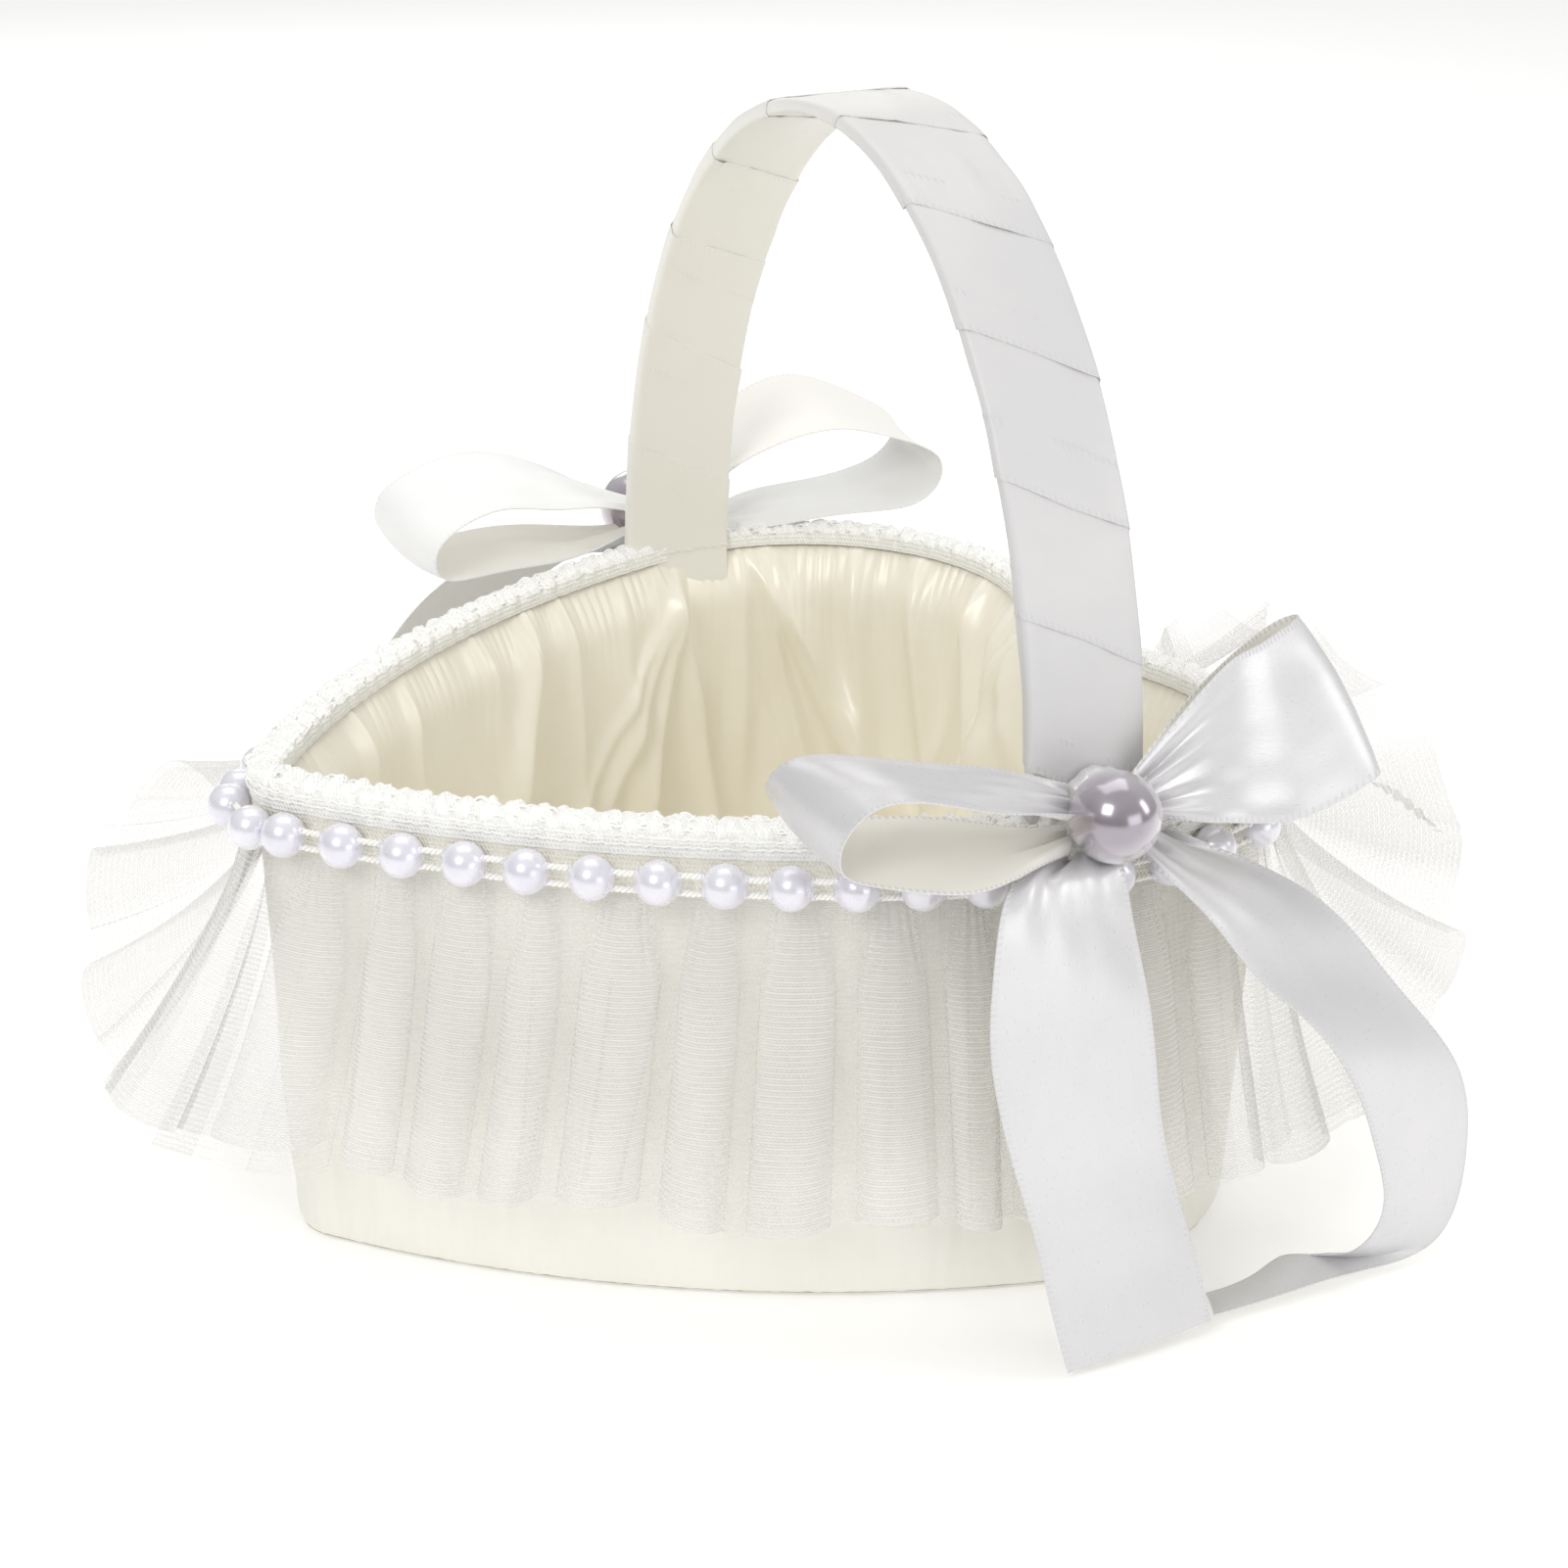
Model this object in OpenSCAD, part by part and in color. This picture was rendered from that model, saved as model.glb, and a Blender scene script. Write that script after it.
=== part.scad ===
// Flower girl basket: a heart-shaped satin basket with a fixed ribbon-wrapped handle,
// a beaded and lace-edged rim, a tulle ruffle and a satin bow at each foot of the handle.
// The point of the heart is towards -X and the handle stands across Y. The basket stands on z = 0.

/* [Basket body] */
// Height of the wall's top edge above the bottom
rim_h = 115; // [95:1:130]
// Size of the outline at the bottom, as a share of the outline at the rim
base_share = 0.96; // [0.92:0.01:1]
// Thickness of the wall board
wall_t = 2; // [1.5:0.1:2.4]
// Thickness of the satin outside the wall
cover_t = 0.8; // [0.5:0.1:1]
// Thickness of the gathered lining
lining_t = 1.5; // [1:0.1:2]
// Room between wall and lining, which the feet of the handle stand in
pocket_gap = 6.2; // [6:0.1:7]
// Thickness of the stiff bottom board
board_t = 2.4; // [2:0.1:3]
// Thickness of the covered card that the basket stands on
base_t = 1.5; // [1.2:0.1:2]
// Thickness of the wadding under the floor of the lining
pad_t = 4; // [3:0.5:6]

/* [Heart outline at the rim] */
// Radius of each lobe
lobe_r = 59; // [56:1:60]
// Distance of the lobes' centres from the handle, along X
lobe_x = 12; // [8:1:14]
// Distance of each lobe's centre from the middle line
lobe_y = 47; // [46:1:49]
// Radius of the two long sides
side_r = 275; // [250:5:320]
// Distance of the point's centre from the handle
tip_reach = 139; // [130:1:145]
// Radius that rounds the point
tip_r = 12; // [10:1:14]
// Radius that rounds the dip between the lobes
cleft_r = 12; // [10:1:14]
// Place along X that the wall tapers towards
taper_x = 10; // [0:1:15]

/* [Handle] */
// Half of the span between the feet, at the rim
handle_half = 99.5; // [99:0.1:100]
// Height of the arch above the rim
handle_rise = 136; // [120:1:150]
// Width of the stiff band
handle_w = 28; // [24:1:30]
// Thickness of the stiff band
core_t = 2.4; // [2:0.1:2.6]
// Thickness of the ribbon wound round the band
wrap_t = 0.8; // [0.5:0.1:0.9]
// Depth of the feet below the rim
foot_depth = 42; // [30:1:50]
// How far each foot leans in at its lower end
foot_lean = 1.4; // [1:0.1:1.6]

/* [Rim trim] */
// Diameter of the wire in the fold of the rim
wire_d = 1.6; // [1.2:0.1:1.8]
// Diameter of the small pearls
pearl_d = 10; // [8:0.5:10]
// Number of small pearls round the rim
pearl_count = 52; // [46:1:54]
// Height of the pearls' centres below the rim
pearl_drop = 8; // [7:0.5:9]
// Diameter of the two threads that link the pearls
thread_d = 1.1; // [0.8:0.1:1.4]
// Half of the distance between the two threads
thread_half_gap = 1.9; // [1.6:0.1:2.2]
// Height of the lace above the wall's top edge
lace_rise = 2.4; // [2:0.1:4]
// Thickness of the lace
lace_t = 0.8; // [0.6:0.1:1]

/* [Tulle ruffle] */
// Length of the ruffle from the tape to the hem
ruffle_l = 74; // [60:1:80]
// Slant of the ruffle where it hangs against the wall, from upright
hang_angle = 10; // [8:1:14]
// Slant of the ruffle where it stands out round the lobes
lobe_flare = 92; // [60:1:92]
// Slant of the ruffle where it stands out beside the point
side_flare = 70; // [50:1:74]
// Thickness of each of the two layers of net
net_t = 1; // [0.8:0.1:1.2]

/* [Bows] */
// Diameter of the large pearl on each bow
big_pearl_d = 20; // [16:1:22]
// Thickness of the bow ribbon, with its nap
ribbon_t = 1; // [0.8:0.1:1.4]
// Height of the knots above the rim
knot_rise = 7; // [6:0.5:8]
// Radius of each knot
knot_r = 8.5; // [7:0.5:9]
// Thickness of each knot
knot_t = 5; // [4:0.5:6]

/* [Hidden] */

seam_gap = 0.05;     // clearance between pieces that are glued or sewn together
eps = 0.01;
$fn = 48;

cream = "#EDE6CC";
ivory = "#EFEDE4";
white = "#F1F1F0";
board_grey = "#C9C3B4";

tip_x = -tip_reach;
lobe_c = [lobe_x, lobe_y];
tip_c = [tip_x, 0];
cleft_c = [lobe_x + sqrt(pow(lobe_r + cleft_r, 2) - pow(lobe_y, 2)), 0];
side_c = circle_meet(tip_c, side_r - tip_r, lobe_c, side_r - lobe_r);
cleft_a = angle_to(cleft_c, lobe_c);
lobe_a = angle_to(side_c, lobe_c);
side_a = angle_to(side_c, tip_c);

lining_out = -(wall_t + pocket_gap);
inner_floor_z = base_t + board_t + seam_gap;
tape_out = cover_t + seam_gap;
tape_t = 0.8;
tape_h = 10;
pearl_z = rim_h - pearl_drop;
pearl_out = tape_out + tape_t + pearl_d / 2 + seam_gap;
ruffle_top_z = pearl_z - pearl_d / 2 - 1;
ruffle_levels = 6;   // steps from the tape to the hem
ruffle_spring = 0.3; // how slowly the slant grows from the tape to the hem
layer_gap = 0.5;     // air between the two layers of net
knot_z = rim_h + knot_rise;
wrap_half_t = core_t / 2 + wrap_t;

// ---- Plane geometry ----

function polar(r, a) = [r * cos(a), r * sin(a)];

function angle_to(p, q) = atan2(q[1] - p[1], q[0] - p[0]);

// Where a circle round p and a circle round q meet, on the right of the way from p to q
function circle_meet(p, rp, q, rq) =
    let (d = norm(q - p), u = (q - p) / d, a = (rp * rp - rq * rq + d * d) / (2 * d),
         h = sqrt(rp * rp - a * a))
    p + a * u + h * [u[1], -u[0]];

function arc(c, r, a0, a1, steps) = [for (i = [0:steps - 1]) c + polar(r, a0 + (a1 - a0) * i / steps)];

function tapered(p, share) = [taper_x + share * (p[0] - taper_x), share * p[1]];

function share_at(z) = base_share + (1 - base_share) * z / rim_h;

// One half of the heart at a height, moved outward by out: dip, lobe, long side, point
function half_outline(z, out) =
    let (s = share_at(z))
    concat(
        arc(tapered(cleft_c, s), s * cleft_r - out, 180, cleft_a, 4),
        arc(tapered(lobe_c, s), s * lobe_r + out, cleft_a - 180, lobe_a, 16),
        arc(tapered(side_c, s), s * side_r + out, lobe_a, side_a, 12),
        arc(tapered(tip_c, s), s * tip_r + out, side_a, 180, 5),
        [tapered(tip_c, s) - [s * tip_r + out, 0]]);

// The whole heart, anticlockwise from the dip
function outline(z, out) =
    let (half = half_outline(z, out))
    concat(half, [for (i = [len(half) - 2:-1:1]) [half[i][0], -half[i][1]]]);

function at_height(points, z) = [for (p = points) [p[0], p[1], z]];

// ---- Solids from rings ----

// Solid between rings of equal length, the last of which joins the first
module ring_solid(rings) {
    n = len(rings[0]);
    m = len(rings);
    polyhedron(
        points = [for (r = rings) each r],
        faces = [for (j = [0:m - 1], i = [0:n - 1])
            let (k = (j + 1) % m, l = (i + 1) % n)
            each [[j * n + i, k * n + l, j * n + l], [j * n + i, k * n + i, k * n + l]]],
        convexity = 6);
}

// Solid along open rings of equal length, closed by a cap at each end
module strip_solid(rings) {
    n = len(rings[0]);
    m = len(rings);
    polyhedron(
        points = [for (r = rings) each r],
        faces = concat(
            [for (j = [0:m - 2], i = [0:n - 1])
                let (l = (i + 1) % n)
                each [[j * n + i, (j + 1) * n + l, j * n + l], [j * n + i, (j + 1) * n + i, (j + 1) * n + l]]],
            [[for (i = [0:n - 1]) i], [for (i = [n - 1:-1:0]) (m - 1) * n + i]]),
        convexity = 6);
}

// Wall of the heart between two offsets and two heights
module wall_band(out_in, out_out, z0, z1) {
    ring_solid([
        at_height(outline(z0, out_out), z0), at_height(outline(z1, out_out), z1),
        at_height(outline(z1, out_in), z1), at_height(outline(z0, out_in), z0)]);
}

// Flat plate of the heart's shape
module heart_plate(out, z0, t) {
    translate([0, 0, z0]) linear_extrude(t) polygon(outline(z0, out));
}

// ---- Body ----

module base_cover() {
    color(ivory) heart_plate(cover_t, 0, base_t - seam_gap);
}

module base_board() {
    color(board_grey) heart_plate(-wall_t - seam_gap, base_t, board_t);
}

module shell_wall() {
    color(board_grey) wall_band(-wall_t, 0, base_t, rim_h - wire_d);
}

module outer_cover() {
    color(ivory) wall_band(seam_gap, cover_t, base_t, rim_h - wire_d);
}

// Round wire along the top edge of the wall board
module rim_wire() {
    sides = 6;
    r = wire_d / 2;
    z = rim_h - r + seam_gap;
    color("silver") ring_solid([for (k = [0:sides - 1])
        at_height(outline(z, -wall_t / 2 + r * cos(-360 * k / sides)), z - r * sin(-360 * k / sides))]);
}

module floor_pad() {
    color("white") heart_plate(lining_out - lining_t - seam_gap, inner_floor_z, pad_t);
}

module lining_floor() {
    color(cream) heart_plate(lining_out - lining_t - seam_gap, inner_floor_z + pad_t + seam_gap, cover_t);
}

// Lining that stands inside the wall and turns out over the pocket, open where the feet go in
module lining_wall() {
    z0 = inner_floor_z;
    z1 = rim_h - wire_d;
    fold = 1.2;
    slot_clear = 0.3;
    color(cream) difference() {
        ring_solid([
            at_height(outline(z0, lining_out), z0),
            at_height(outline(z1 - fold, lining_out), z1 - fold),
            at_height(outline(z1 - fold, -wall_t - seam_gap), z1 - fold),
            at_height(outline(z1, -wall_t - seam_gap), z1),
            at_height(outline(z1, lining_out - lining_t), z1),
            at_height(outline(z0, lining_out - lining_t), z0)]);
        for (side = [-1, 1])
            translate([0, side * handle_half, z1])
                cube([handle_w + 2 * (wrap_t + slot_clear), 2 * (wrap_half_t + slot_clear), 4 * fold],
                     center = true);
    }
}

// ---- Rim trim ----

// Lace folded over the top edge of the wall
module rim_lace() {
    top = rim_h + lace_rise;
    skirt_z = pearl_z + pearl_d / 2 + seam_gap;
    roof_z = rim_h + 2 * seam_gap;
    out_out = cover_t + seam_gap + lace_t;
    in_in = -wall_t - seam_gap;
    color(white) ring_solid([
        at_height(outline(skirt_z, out_out), skirt_z),
        at_height(outline(top, out_out), top),
        at_height(outline(top, in_in), top),
        at_height(outline(roof_z, in_in), roof_z),
        at_height(outline(roof_z, cover_t + seam_gap), roof_z),
        at_height(outline(skirt_z, cover_t + seam_gap), skirt_z)]);
}

// Tape that the net is gathered on, behind the pearls
module tulle_tape() {
    z0 = pearl_z - tape_h / 2;
    color(white) wall_band(tape_out, tape_out + tape_t, z0, z0 + tape_h - 2 * seam_gap);
}

// Length along a closed line up to each of its points
function lengths(p, i = 0, sum = 0) =
    i == len(p) ? [sum] : concat([sum], lengths(p, i + 1, sum + norm(p[(i + 1) % len(p)] - p[i])));

// Point at a distance along a closed line
function point_along(p, len_to, d, i = 0) =
    d <= len_to[i + 1]
        ? p[i] + (p[(i + 1) % len(p)] - p[i]) * (d - len_to[i]) / (len_to[i + 1] - len_to[i])
        : point_along(p, len_to, d, i + 1);

pearl_line = outline(pearl_z, pearl_out);
pearl_line_to = lengths(pearl_line);
pearl_pitch = pearl_line_to[len(pearl_line)] / pearl_count;
pearl_places = [for (i = [0:pearl_count - 1]) point_along(pearl_line, pearl_line_to, (i + 0.5) * pearl_pitch)];

module pearl_string() {
    color(white) for (p = pearl_places) translate([p[0], p[1], pearl_z]) sphere(d = pearl_d);
}

// The stretches of thread between neighbouring pearls, which are moulded on to the thread
module thread_links(z) {
    inset = sqrt(pow(pearl_d / 2, 2) - pow(thread_half_gap - thread_d / 2, 2)) + seam_gap;
    for (i = [0:pearl_count - 1]) {
        p = pearl_places[i];
        q = pearl_places[(i + 1) % pearl_count];
        translate([p[0], p[1], z]) rotate([0, 90, angle_to(p, q)])
            translate([0, 0, inset]) cylinder(d = thread_d, h = norm(q - p) - 2 * inset, $fn = 16);
    }
}

module thread_upper() {
    color(white) thread_links(pearl_z + thread_half_gap);
}

module thread_lower() {
    color(white) thread_links(pearl_z - thread_half_gap);
}

// ---- Tulle ruffle ----

// A smooth hump of height 1 round an angle
function hump(a, centre, half) =
    let (d = abs(((a - centre + 540) % 360) - 180)) d >= half ? 0 : pow(cos(90 * d / half), 2);

// Slant of the ruffle in each direction seen from the middle of the basket
function ruffle_slant(a) =
    hang_angle + (lobe_flare - hang_angle) * hump(a, -2, 80)
        + (side_flare - hang_angle) * hump(a, 150, 46) + 16 * hump(a, 95, 60);

// One ring of the ruffle: share 0 is the tape and 1 the hem, and lift is off the net's own face
function ruffle_ring(share, lift) =
    [for (p = outline(ruffle_top_z, tape_out + tape_t + seam_gap))
        let (a = angle_to([taper_x, 0], p), slant = ruffle_slant(a) * pow(share, ruffle_spring),
             face_a = slant * (1 + ruffle_spring),
             run = ruffle_l * share * sin(slant) + lift * cos(face_a),
             fall = ruffle_l * share * cos(slant) - lift * sin(face_a))
        [p[0] + run * cos(a), p[1] + run * sin(a), ruffle_top_z - fall]];

module ruffle(lift) {
    levels = [for (i = [0:ruffle_levels]) i / ruffle_levels];
    color([0.95, 0.95, 0.93, 0.6]) ring_solid(concat(
        [for (i = [ruffle_levels:-1:0]) ruffle_ring(levels[i], lift + net_t)],
        [for (i = [0:ruffle_levels]) ruffle_ring(levels[i], lift)]));
}

module tulle_under() {
    ruffle(0);
}

module tulle_over() {
    ruffle(net_t + layer_gap);
}

// ---- Handle ----

// The handle's middle line in the Y-Z plane, moved outward by out: foot, arch, foot
function handle_line(out) =
    let (steps = 36,
         foot = [handle_half - foot_lean + out, rim_h - foot_depth],
         arch = [for (i = [0:steps])
            let (a = 180 * i / steps, n = [cos(a) / handle_half, sin(a) / handle_rise])
            [handle_half * cos(a), rim_h + handle_rise * sin(a)] + out * n / norm(n)])
    concat([foot], arch, [[-foot[0], foot[1]]]);

function reversed(p) = [for (i = [len(p) - 1:-1:0]) p[i]];

// A band of the handle's shape, between two offsets, with its width along X
module handle_band(out_in, out_out, w) {
    rotate([90, 0, 90]) translate([0, 0, -w / 2]) linear_extrude(w)
        polygon(concat(handle_line(out_out), reversed(handle_line(out_in))));
}

module handle_core() {
    color(board_grey) handle_band(-core_t / 2, core_t / 2, handle_w);
}

// Ribbon round the core: a band with the core's own room left out of it
module handle_wrap() {
    color(white) difference() {
        handle_band(-wrap_half_t, wrap_half_t, handle_w + 2 * wrap_t);
        handle_band(-core_t / 2 - seam_gap, core_t / 2 + seam_gap, handle_w + 2 * seam_gap);
    }
}

// ---- Bows ----

// Place on a smooth curve through p, between points i and i + 1
function curve_point(p, i, t) =
    let (a = p[max(i - 1, 0)], b = p[i], c = p[min(i + 1, len(p) - 1)], d = p[min(i + 2, len(p) - 1)])
    0.5 * (2 * b + (c - a) * t + (2 * a - 5 * b + 4 * c - d) * t * t + (3 * b - a - 3 * c + d) * t * t * t);

function smooth(p, steps = 3) =
    concat([for (i = [0:len(p) - 2], k = [0:steps - 1]) curve_point(p, i, k / steps)], [p[len(p) - 1]]);

// A ribbon between two edges that run through the points given
module ribbon(edge_a, edge_b) {
    a = smooth(edge_a);
    b = smooth(edge_b);
    last = len(a) - 1;
    color(white) strip_solid([for (i = [0:last])
        let (run = (a[min(i + 1, last)] + b[min(i + 1, last)] - a[max(i - 1, 0)] - b[max(i - 1, 0)]) / 2,
             n = cross(b[i] - a[i], run), up = n / norm(n) * ribbon_t / 2)
        [a[i] - up, b[i] - up, b[i] + up, a[i] + up]]);
}

// Foot of a bow: where its knot sits on the outside of the handle
function knot_place(side) = [0, side * (handle_half + wrap_half_t + seam_gap), knot_z];

module at_knot(side) {
    translate(knot_place(side)) children();
}

// Gathered middle of a bow, a thick disc with a rounded edge
module knot(side) {
    round_r = knot_t / 2;
    color(white) at_knot(side) rotate([-side * 90, 0, 0]) rotate_extrude() {
        square([knot_r - round_r, knot_t]);
        translate([knot_r - round_r, round_r]) intersection() {
            circle(r = round_r, $fn = 32);
            translate([-eps, -round_r]) square([round_r + 1, knot_t]);
        }
    }
}

module big_pearl(side) {
    shift = [-3, side * (knot_t + big_pearl_d / 2 + seam_gap), 1];
    color("#D9D5DC") at_knot(side) translate(shift) sphere(d = big_pearl_d);
}

module front_knot() {
    knot(-1);
}

module front_pearl() {
    big_pearl(-1);
}

module back_knot() {
    knot(1);
}

module back_pearl() {
    big_pearl(1);
}

// The ribbons' edges, from the knot outward, measured from the knot
module front_loop_left() {
    at_knot(-1) ribbon(
        [[-9, -2, 5], [-38, 4, 14], [-62, 13, 16], [-69, 18, 9], [-62, 16, 2], [-38, 5, 0], [-9, -1, -4]],
        [[-11, -10, 0], [-50, -24, 16], [-66, -22, 17], [-72, -18, 8], [-68, -18, 0], [-46, -26, -2],
         [-11, -9, -6]]);
}

module front_loop_right() {
    at_knot(-1) ribbon(
        [[9, -2, 6], [29, -2, 25], [42, 0, 29], [53, 5, 31], [50, 10, 28], [28, 4, 20], [9, -1, 4]],
        [[9, -8, -3], [22, -18, -3], [42, -17, -6], [63, -16, 0], [60, -4, -2], [30, -2, -4], [9, -3, -4]]);
}

module front_tail_left() {
    at_knot(-1) ribbon(
        [[0, -6, -9], [-1, -15, -12], [0, -22, -34], [4, -26, -64], [10, -29, -92], [17, -31, -117]],
        [[-14, -6, -9], [-33, -18, -10], [-38, -22, -34], [-34, -25, -64], [-27, -28, -92], [-20, -32, -120]]);
}

module front_tail_right() {
    at_knot(-1) ribbon(
        [[14, -7, -7], [34, -12, -17], [55, -14, -33], [74, -16, -53], [90, -18, -77], [96, -19, -100],
         [88, -25, -113], [72, -28, -118], [46, -30, -117], [20, -28, -117]],
        [[5, -9, -9], [11, -26, -19], [22, -32, -32], [38, -34, -50], [53, -36, -74], [59, -36, -94],
         [57, -29, -109], [50, -16, -116], [39, -15, -119], [24, -19, -119]]);
}

module back_loop_left() {
    at_knot(1) ribbon(
        [[-9, 7, 5], [-30, 22, 13], [-52, 23, 18], [-72, 18, 12], [-70, 16, 1], [-40, 18, -2], [-9, 7, -3]],
        [[-9, 1, 5], [-30, -4, 10], [-52, -8, 14], [-70, -13, 8], [-68, -13, -1], [-40, -5, -4], [-9, 1, -3]]);
}

module back_loop_right() {
    at_knot(1) ribbon(
        [[9, 7, 6], [24, 22, 19], [48, 22, 27], [76, 16, 16], [70, 14, 4], [36, 18, -2], [9, 7, -3]],
        [[9, 1, 6], [24, -4, 17], [48, -8, 23], [72, -13, 13], [66, -13, 1], [36, -5, -3], [9, 1, -3]]);
}

module back_tail_left() {
    at_knot(1) ribbon(
        [[-4, 6, -9], [-24, 17, -12], [-42, 22, -34], [-50, 25, -64], [-54, 27, -92], [-57, 29, -116]],
        [[-12, 6, -7], [-46, 9, -6], [-76, 11, -26], [-86, 15, -60], [-90, 18, -90], [-92, 20, -112]]);
}

module back_tail_right() {
    at_knot(1) ribbon(
        [[4, 6, -9], [4, 17, -12], [8, 22, -34], [12, 25, -64], [14, 28, -92], [14, 30, -119]],
        [[12, 6, -8], [36, 15, -10], [46, 21, -34], [50, 25, -64], [52, 28, -92], [51, 31, -116]]);
}

base_cover();
base_board();
shell_wall();
outer_cover();
rim_wire();
floor_pad();
lining_floor();
lining_wall();
rim_lace();
tulle_tape();
pearl_string();
thread_upper();
thread_lower();
tulle_under();
tulle_over();
handle_core();
handle_wrap();
front_knot();
front_pearl();
front_loop_left();
front_loop_right();
front_tail_left();
front_tail_right();
back_knot();
back_pearl();
back_loop_left();
back_loop_right();
back_tail_left();
back_tail_right();
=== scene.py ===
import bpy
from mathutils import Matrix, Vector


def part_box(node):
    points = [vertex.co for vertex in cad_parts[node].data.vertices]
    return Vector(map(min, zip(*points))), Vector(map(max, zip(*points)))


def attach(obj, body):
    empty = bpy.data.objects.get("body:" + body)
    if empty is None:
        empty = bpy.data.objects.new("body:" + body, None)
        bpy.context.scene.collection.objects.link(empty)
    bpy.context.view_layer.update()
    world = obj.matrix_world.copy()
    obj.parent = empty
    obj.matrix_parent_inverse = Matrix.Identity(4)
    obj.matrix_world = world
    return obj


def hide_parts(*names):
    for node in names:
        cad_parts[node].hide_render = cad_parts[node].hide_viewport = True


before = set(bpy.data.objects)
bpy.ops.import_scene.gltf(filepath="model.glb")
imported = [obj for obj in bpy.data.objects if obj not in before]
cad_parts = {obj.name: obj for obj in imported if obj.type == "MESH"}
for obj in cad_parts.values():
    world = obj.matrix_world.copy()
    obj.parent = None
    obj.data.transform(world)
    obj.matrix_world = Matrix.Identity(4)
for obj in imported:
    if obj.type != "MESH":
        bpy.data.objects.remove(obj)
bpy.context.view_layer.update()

import math

import bmesh
import bpy
import numpy as np
from mathutils import Quaternion, Vector

# A heart-shaped flower girl basket. The point of the heart is towards -X and the handle stands across Y.
# Lengths are in metres. Cloth surfaces are grids: rows run round or along the piece, columns across it.

MM = 0.001
TAU = 2 * math.pi

# ---- Curves and waves ----


def smoothstep(low, high, x):
    t = np.clip((x - low) / (high - low), 0, 1)
    return t * t * (3 - 2 * t)


def unit(v):
    return v / np.maximum(np.linalg.norm(v, axis=-1, keepdims=True), 1e-12)


def mix(a, b, t):
    return a + (b - a) * t


def ripple(x, waves, seed, y=0.0, y_waves=0.0, count=7):
    """Smooth random wave of about -1 to 1. It meets itself after x = 1, so it can run round the basket."""
    rng = np.random.default_rng(seed)
    total = 0.0
    weights = rng.uniform(0.5, 1, count)
    for weight in weights:
        number = max(1, round(waves * rng.uniform(0.55, 1.5)))
        slope = y_waves * rng.uniform(-1, 1)
        total = total + weight * np.sin(TAU * (number * x + slope * y + rng.random()))
    return total / np.sqrt(np.sum(weights ** 2) / 2) / 2.2


def catmull(a, b, c, d, t):
    """Place between b and c on the smooth curve through four points"""
    return 0.5 * (2 * b + (c - a) * t + (2 * a - 5 * b + 4 * c - d) * t ** 2
                  + (3 * b - a - 3 * c + d) * t ** 3)


def spline(points, samples):
    """Smooth open curve through points, sampled evenly from the first point to the last"""
    p = np.asarray(points, float)
    p = np.vstack([2 * p[0] - p[1], p, 2 * p[-1] - p[-2]])
    place = np.linspace(0, len(p) - 3, samples)
    i = np.minimum(place.astype(int), len(p) - 4)
    t = (place - i)[:, None]
    return catmull(p[i], p[i + 1], p[i + 2], p[i + 3], t)


def length_to(points):
    """Length along a line of points up to each of them"""
    steps = np.linalg.norm(np.diff(points, axis=0), axis=1)
    return np.concatenate([[0], np.cumsum(steps)])


# ---- Meshes ----


def grid_normals(points, wrap):
    if wrap:
        along = np.roll(points, -1, 0) - np.roll(points, 1, 0)
    else:
        along = np.gradient(points, axis=0)
    return unit(np.cross(along, np.gradient(points, axis=1)))


def grid_corners(rows, cols, wrap):
    """Face corners of a grid: into its points, and into its cloth places, which have a last row more"""
    r = np.arange(rows if wrap else rows - 1)[:, None]
    c = np.arange(cols - 1)[None, :]
    following = (r + 1) % rows

    def corners(next_row):
        quad = [r * cols + c, next_row * cols + c, next_row * cols + c + 1, r * cols + c + 1]
        return np.stack(np.broadcast_arrays(*quad), -1).reshape(-1, 4)

    return corners(following), corners(r + 1)


def finish_mesh(name, verts, faces, places=None, closed=False, sharp_deg=60):
    """An object from points and faces. places gives (along, across, side) for each face corner."""
    mesh = bpy.data.meshes.new(name)
    mesh.from_pydata(np.asarray(verts).tolist(), [], [list(f) for f in faces])
    if places is not None:
        layer = mesh.attributes.new("cloth", "FLOAT_VECTOR", "CORNER")
        layer.data.foreach_set("vector", np.asarray(places, np.float32).ravel())
    work = bmesh.new()
    work.from_mesh(mesh)
    bmesh.ops.remove_doubles(work, verts=work.verts, dist=1e-7)
    if closed:
        bmesh.ops.recalc_face_normals(work, faces=work.faces)
    work.to_mesh(mesh)
    work.free()
    mesh.polygons.foreach_set("use_smooth", [True] * len(mesh.polygons))
    mesh.set_sharp_from_angle(angle=math.radians(sharp_deg))
    piece = bpy.data.objects.new(name, mesh)
    bpy.context.scene.collection.objects.link(piece)
    return piece


def ring_u(rows):
    """u from 0 to just under 1, one value for each row"""
    return (np.arange(rows) / rows)[:, None]


def laid(along, across):
    """Cloth places of a grid, from how far each row is along the cloth and each column across it"""
    return np.stack(np.broadcast_arrays(along, across), -1)


def laid_round(rows, length, across):
    """Cloth places of a grid that closes on itself after length, with the first row again at the end"""
    return laid(np.arange(rows + 1)[:, None] * length / rows, across)


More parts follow.
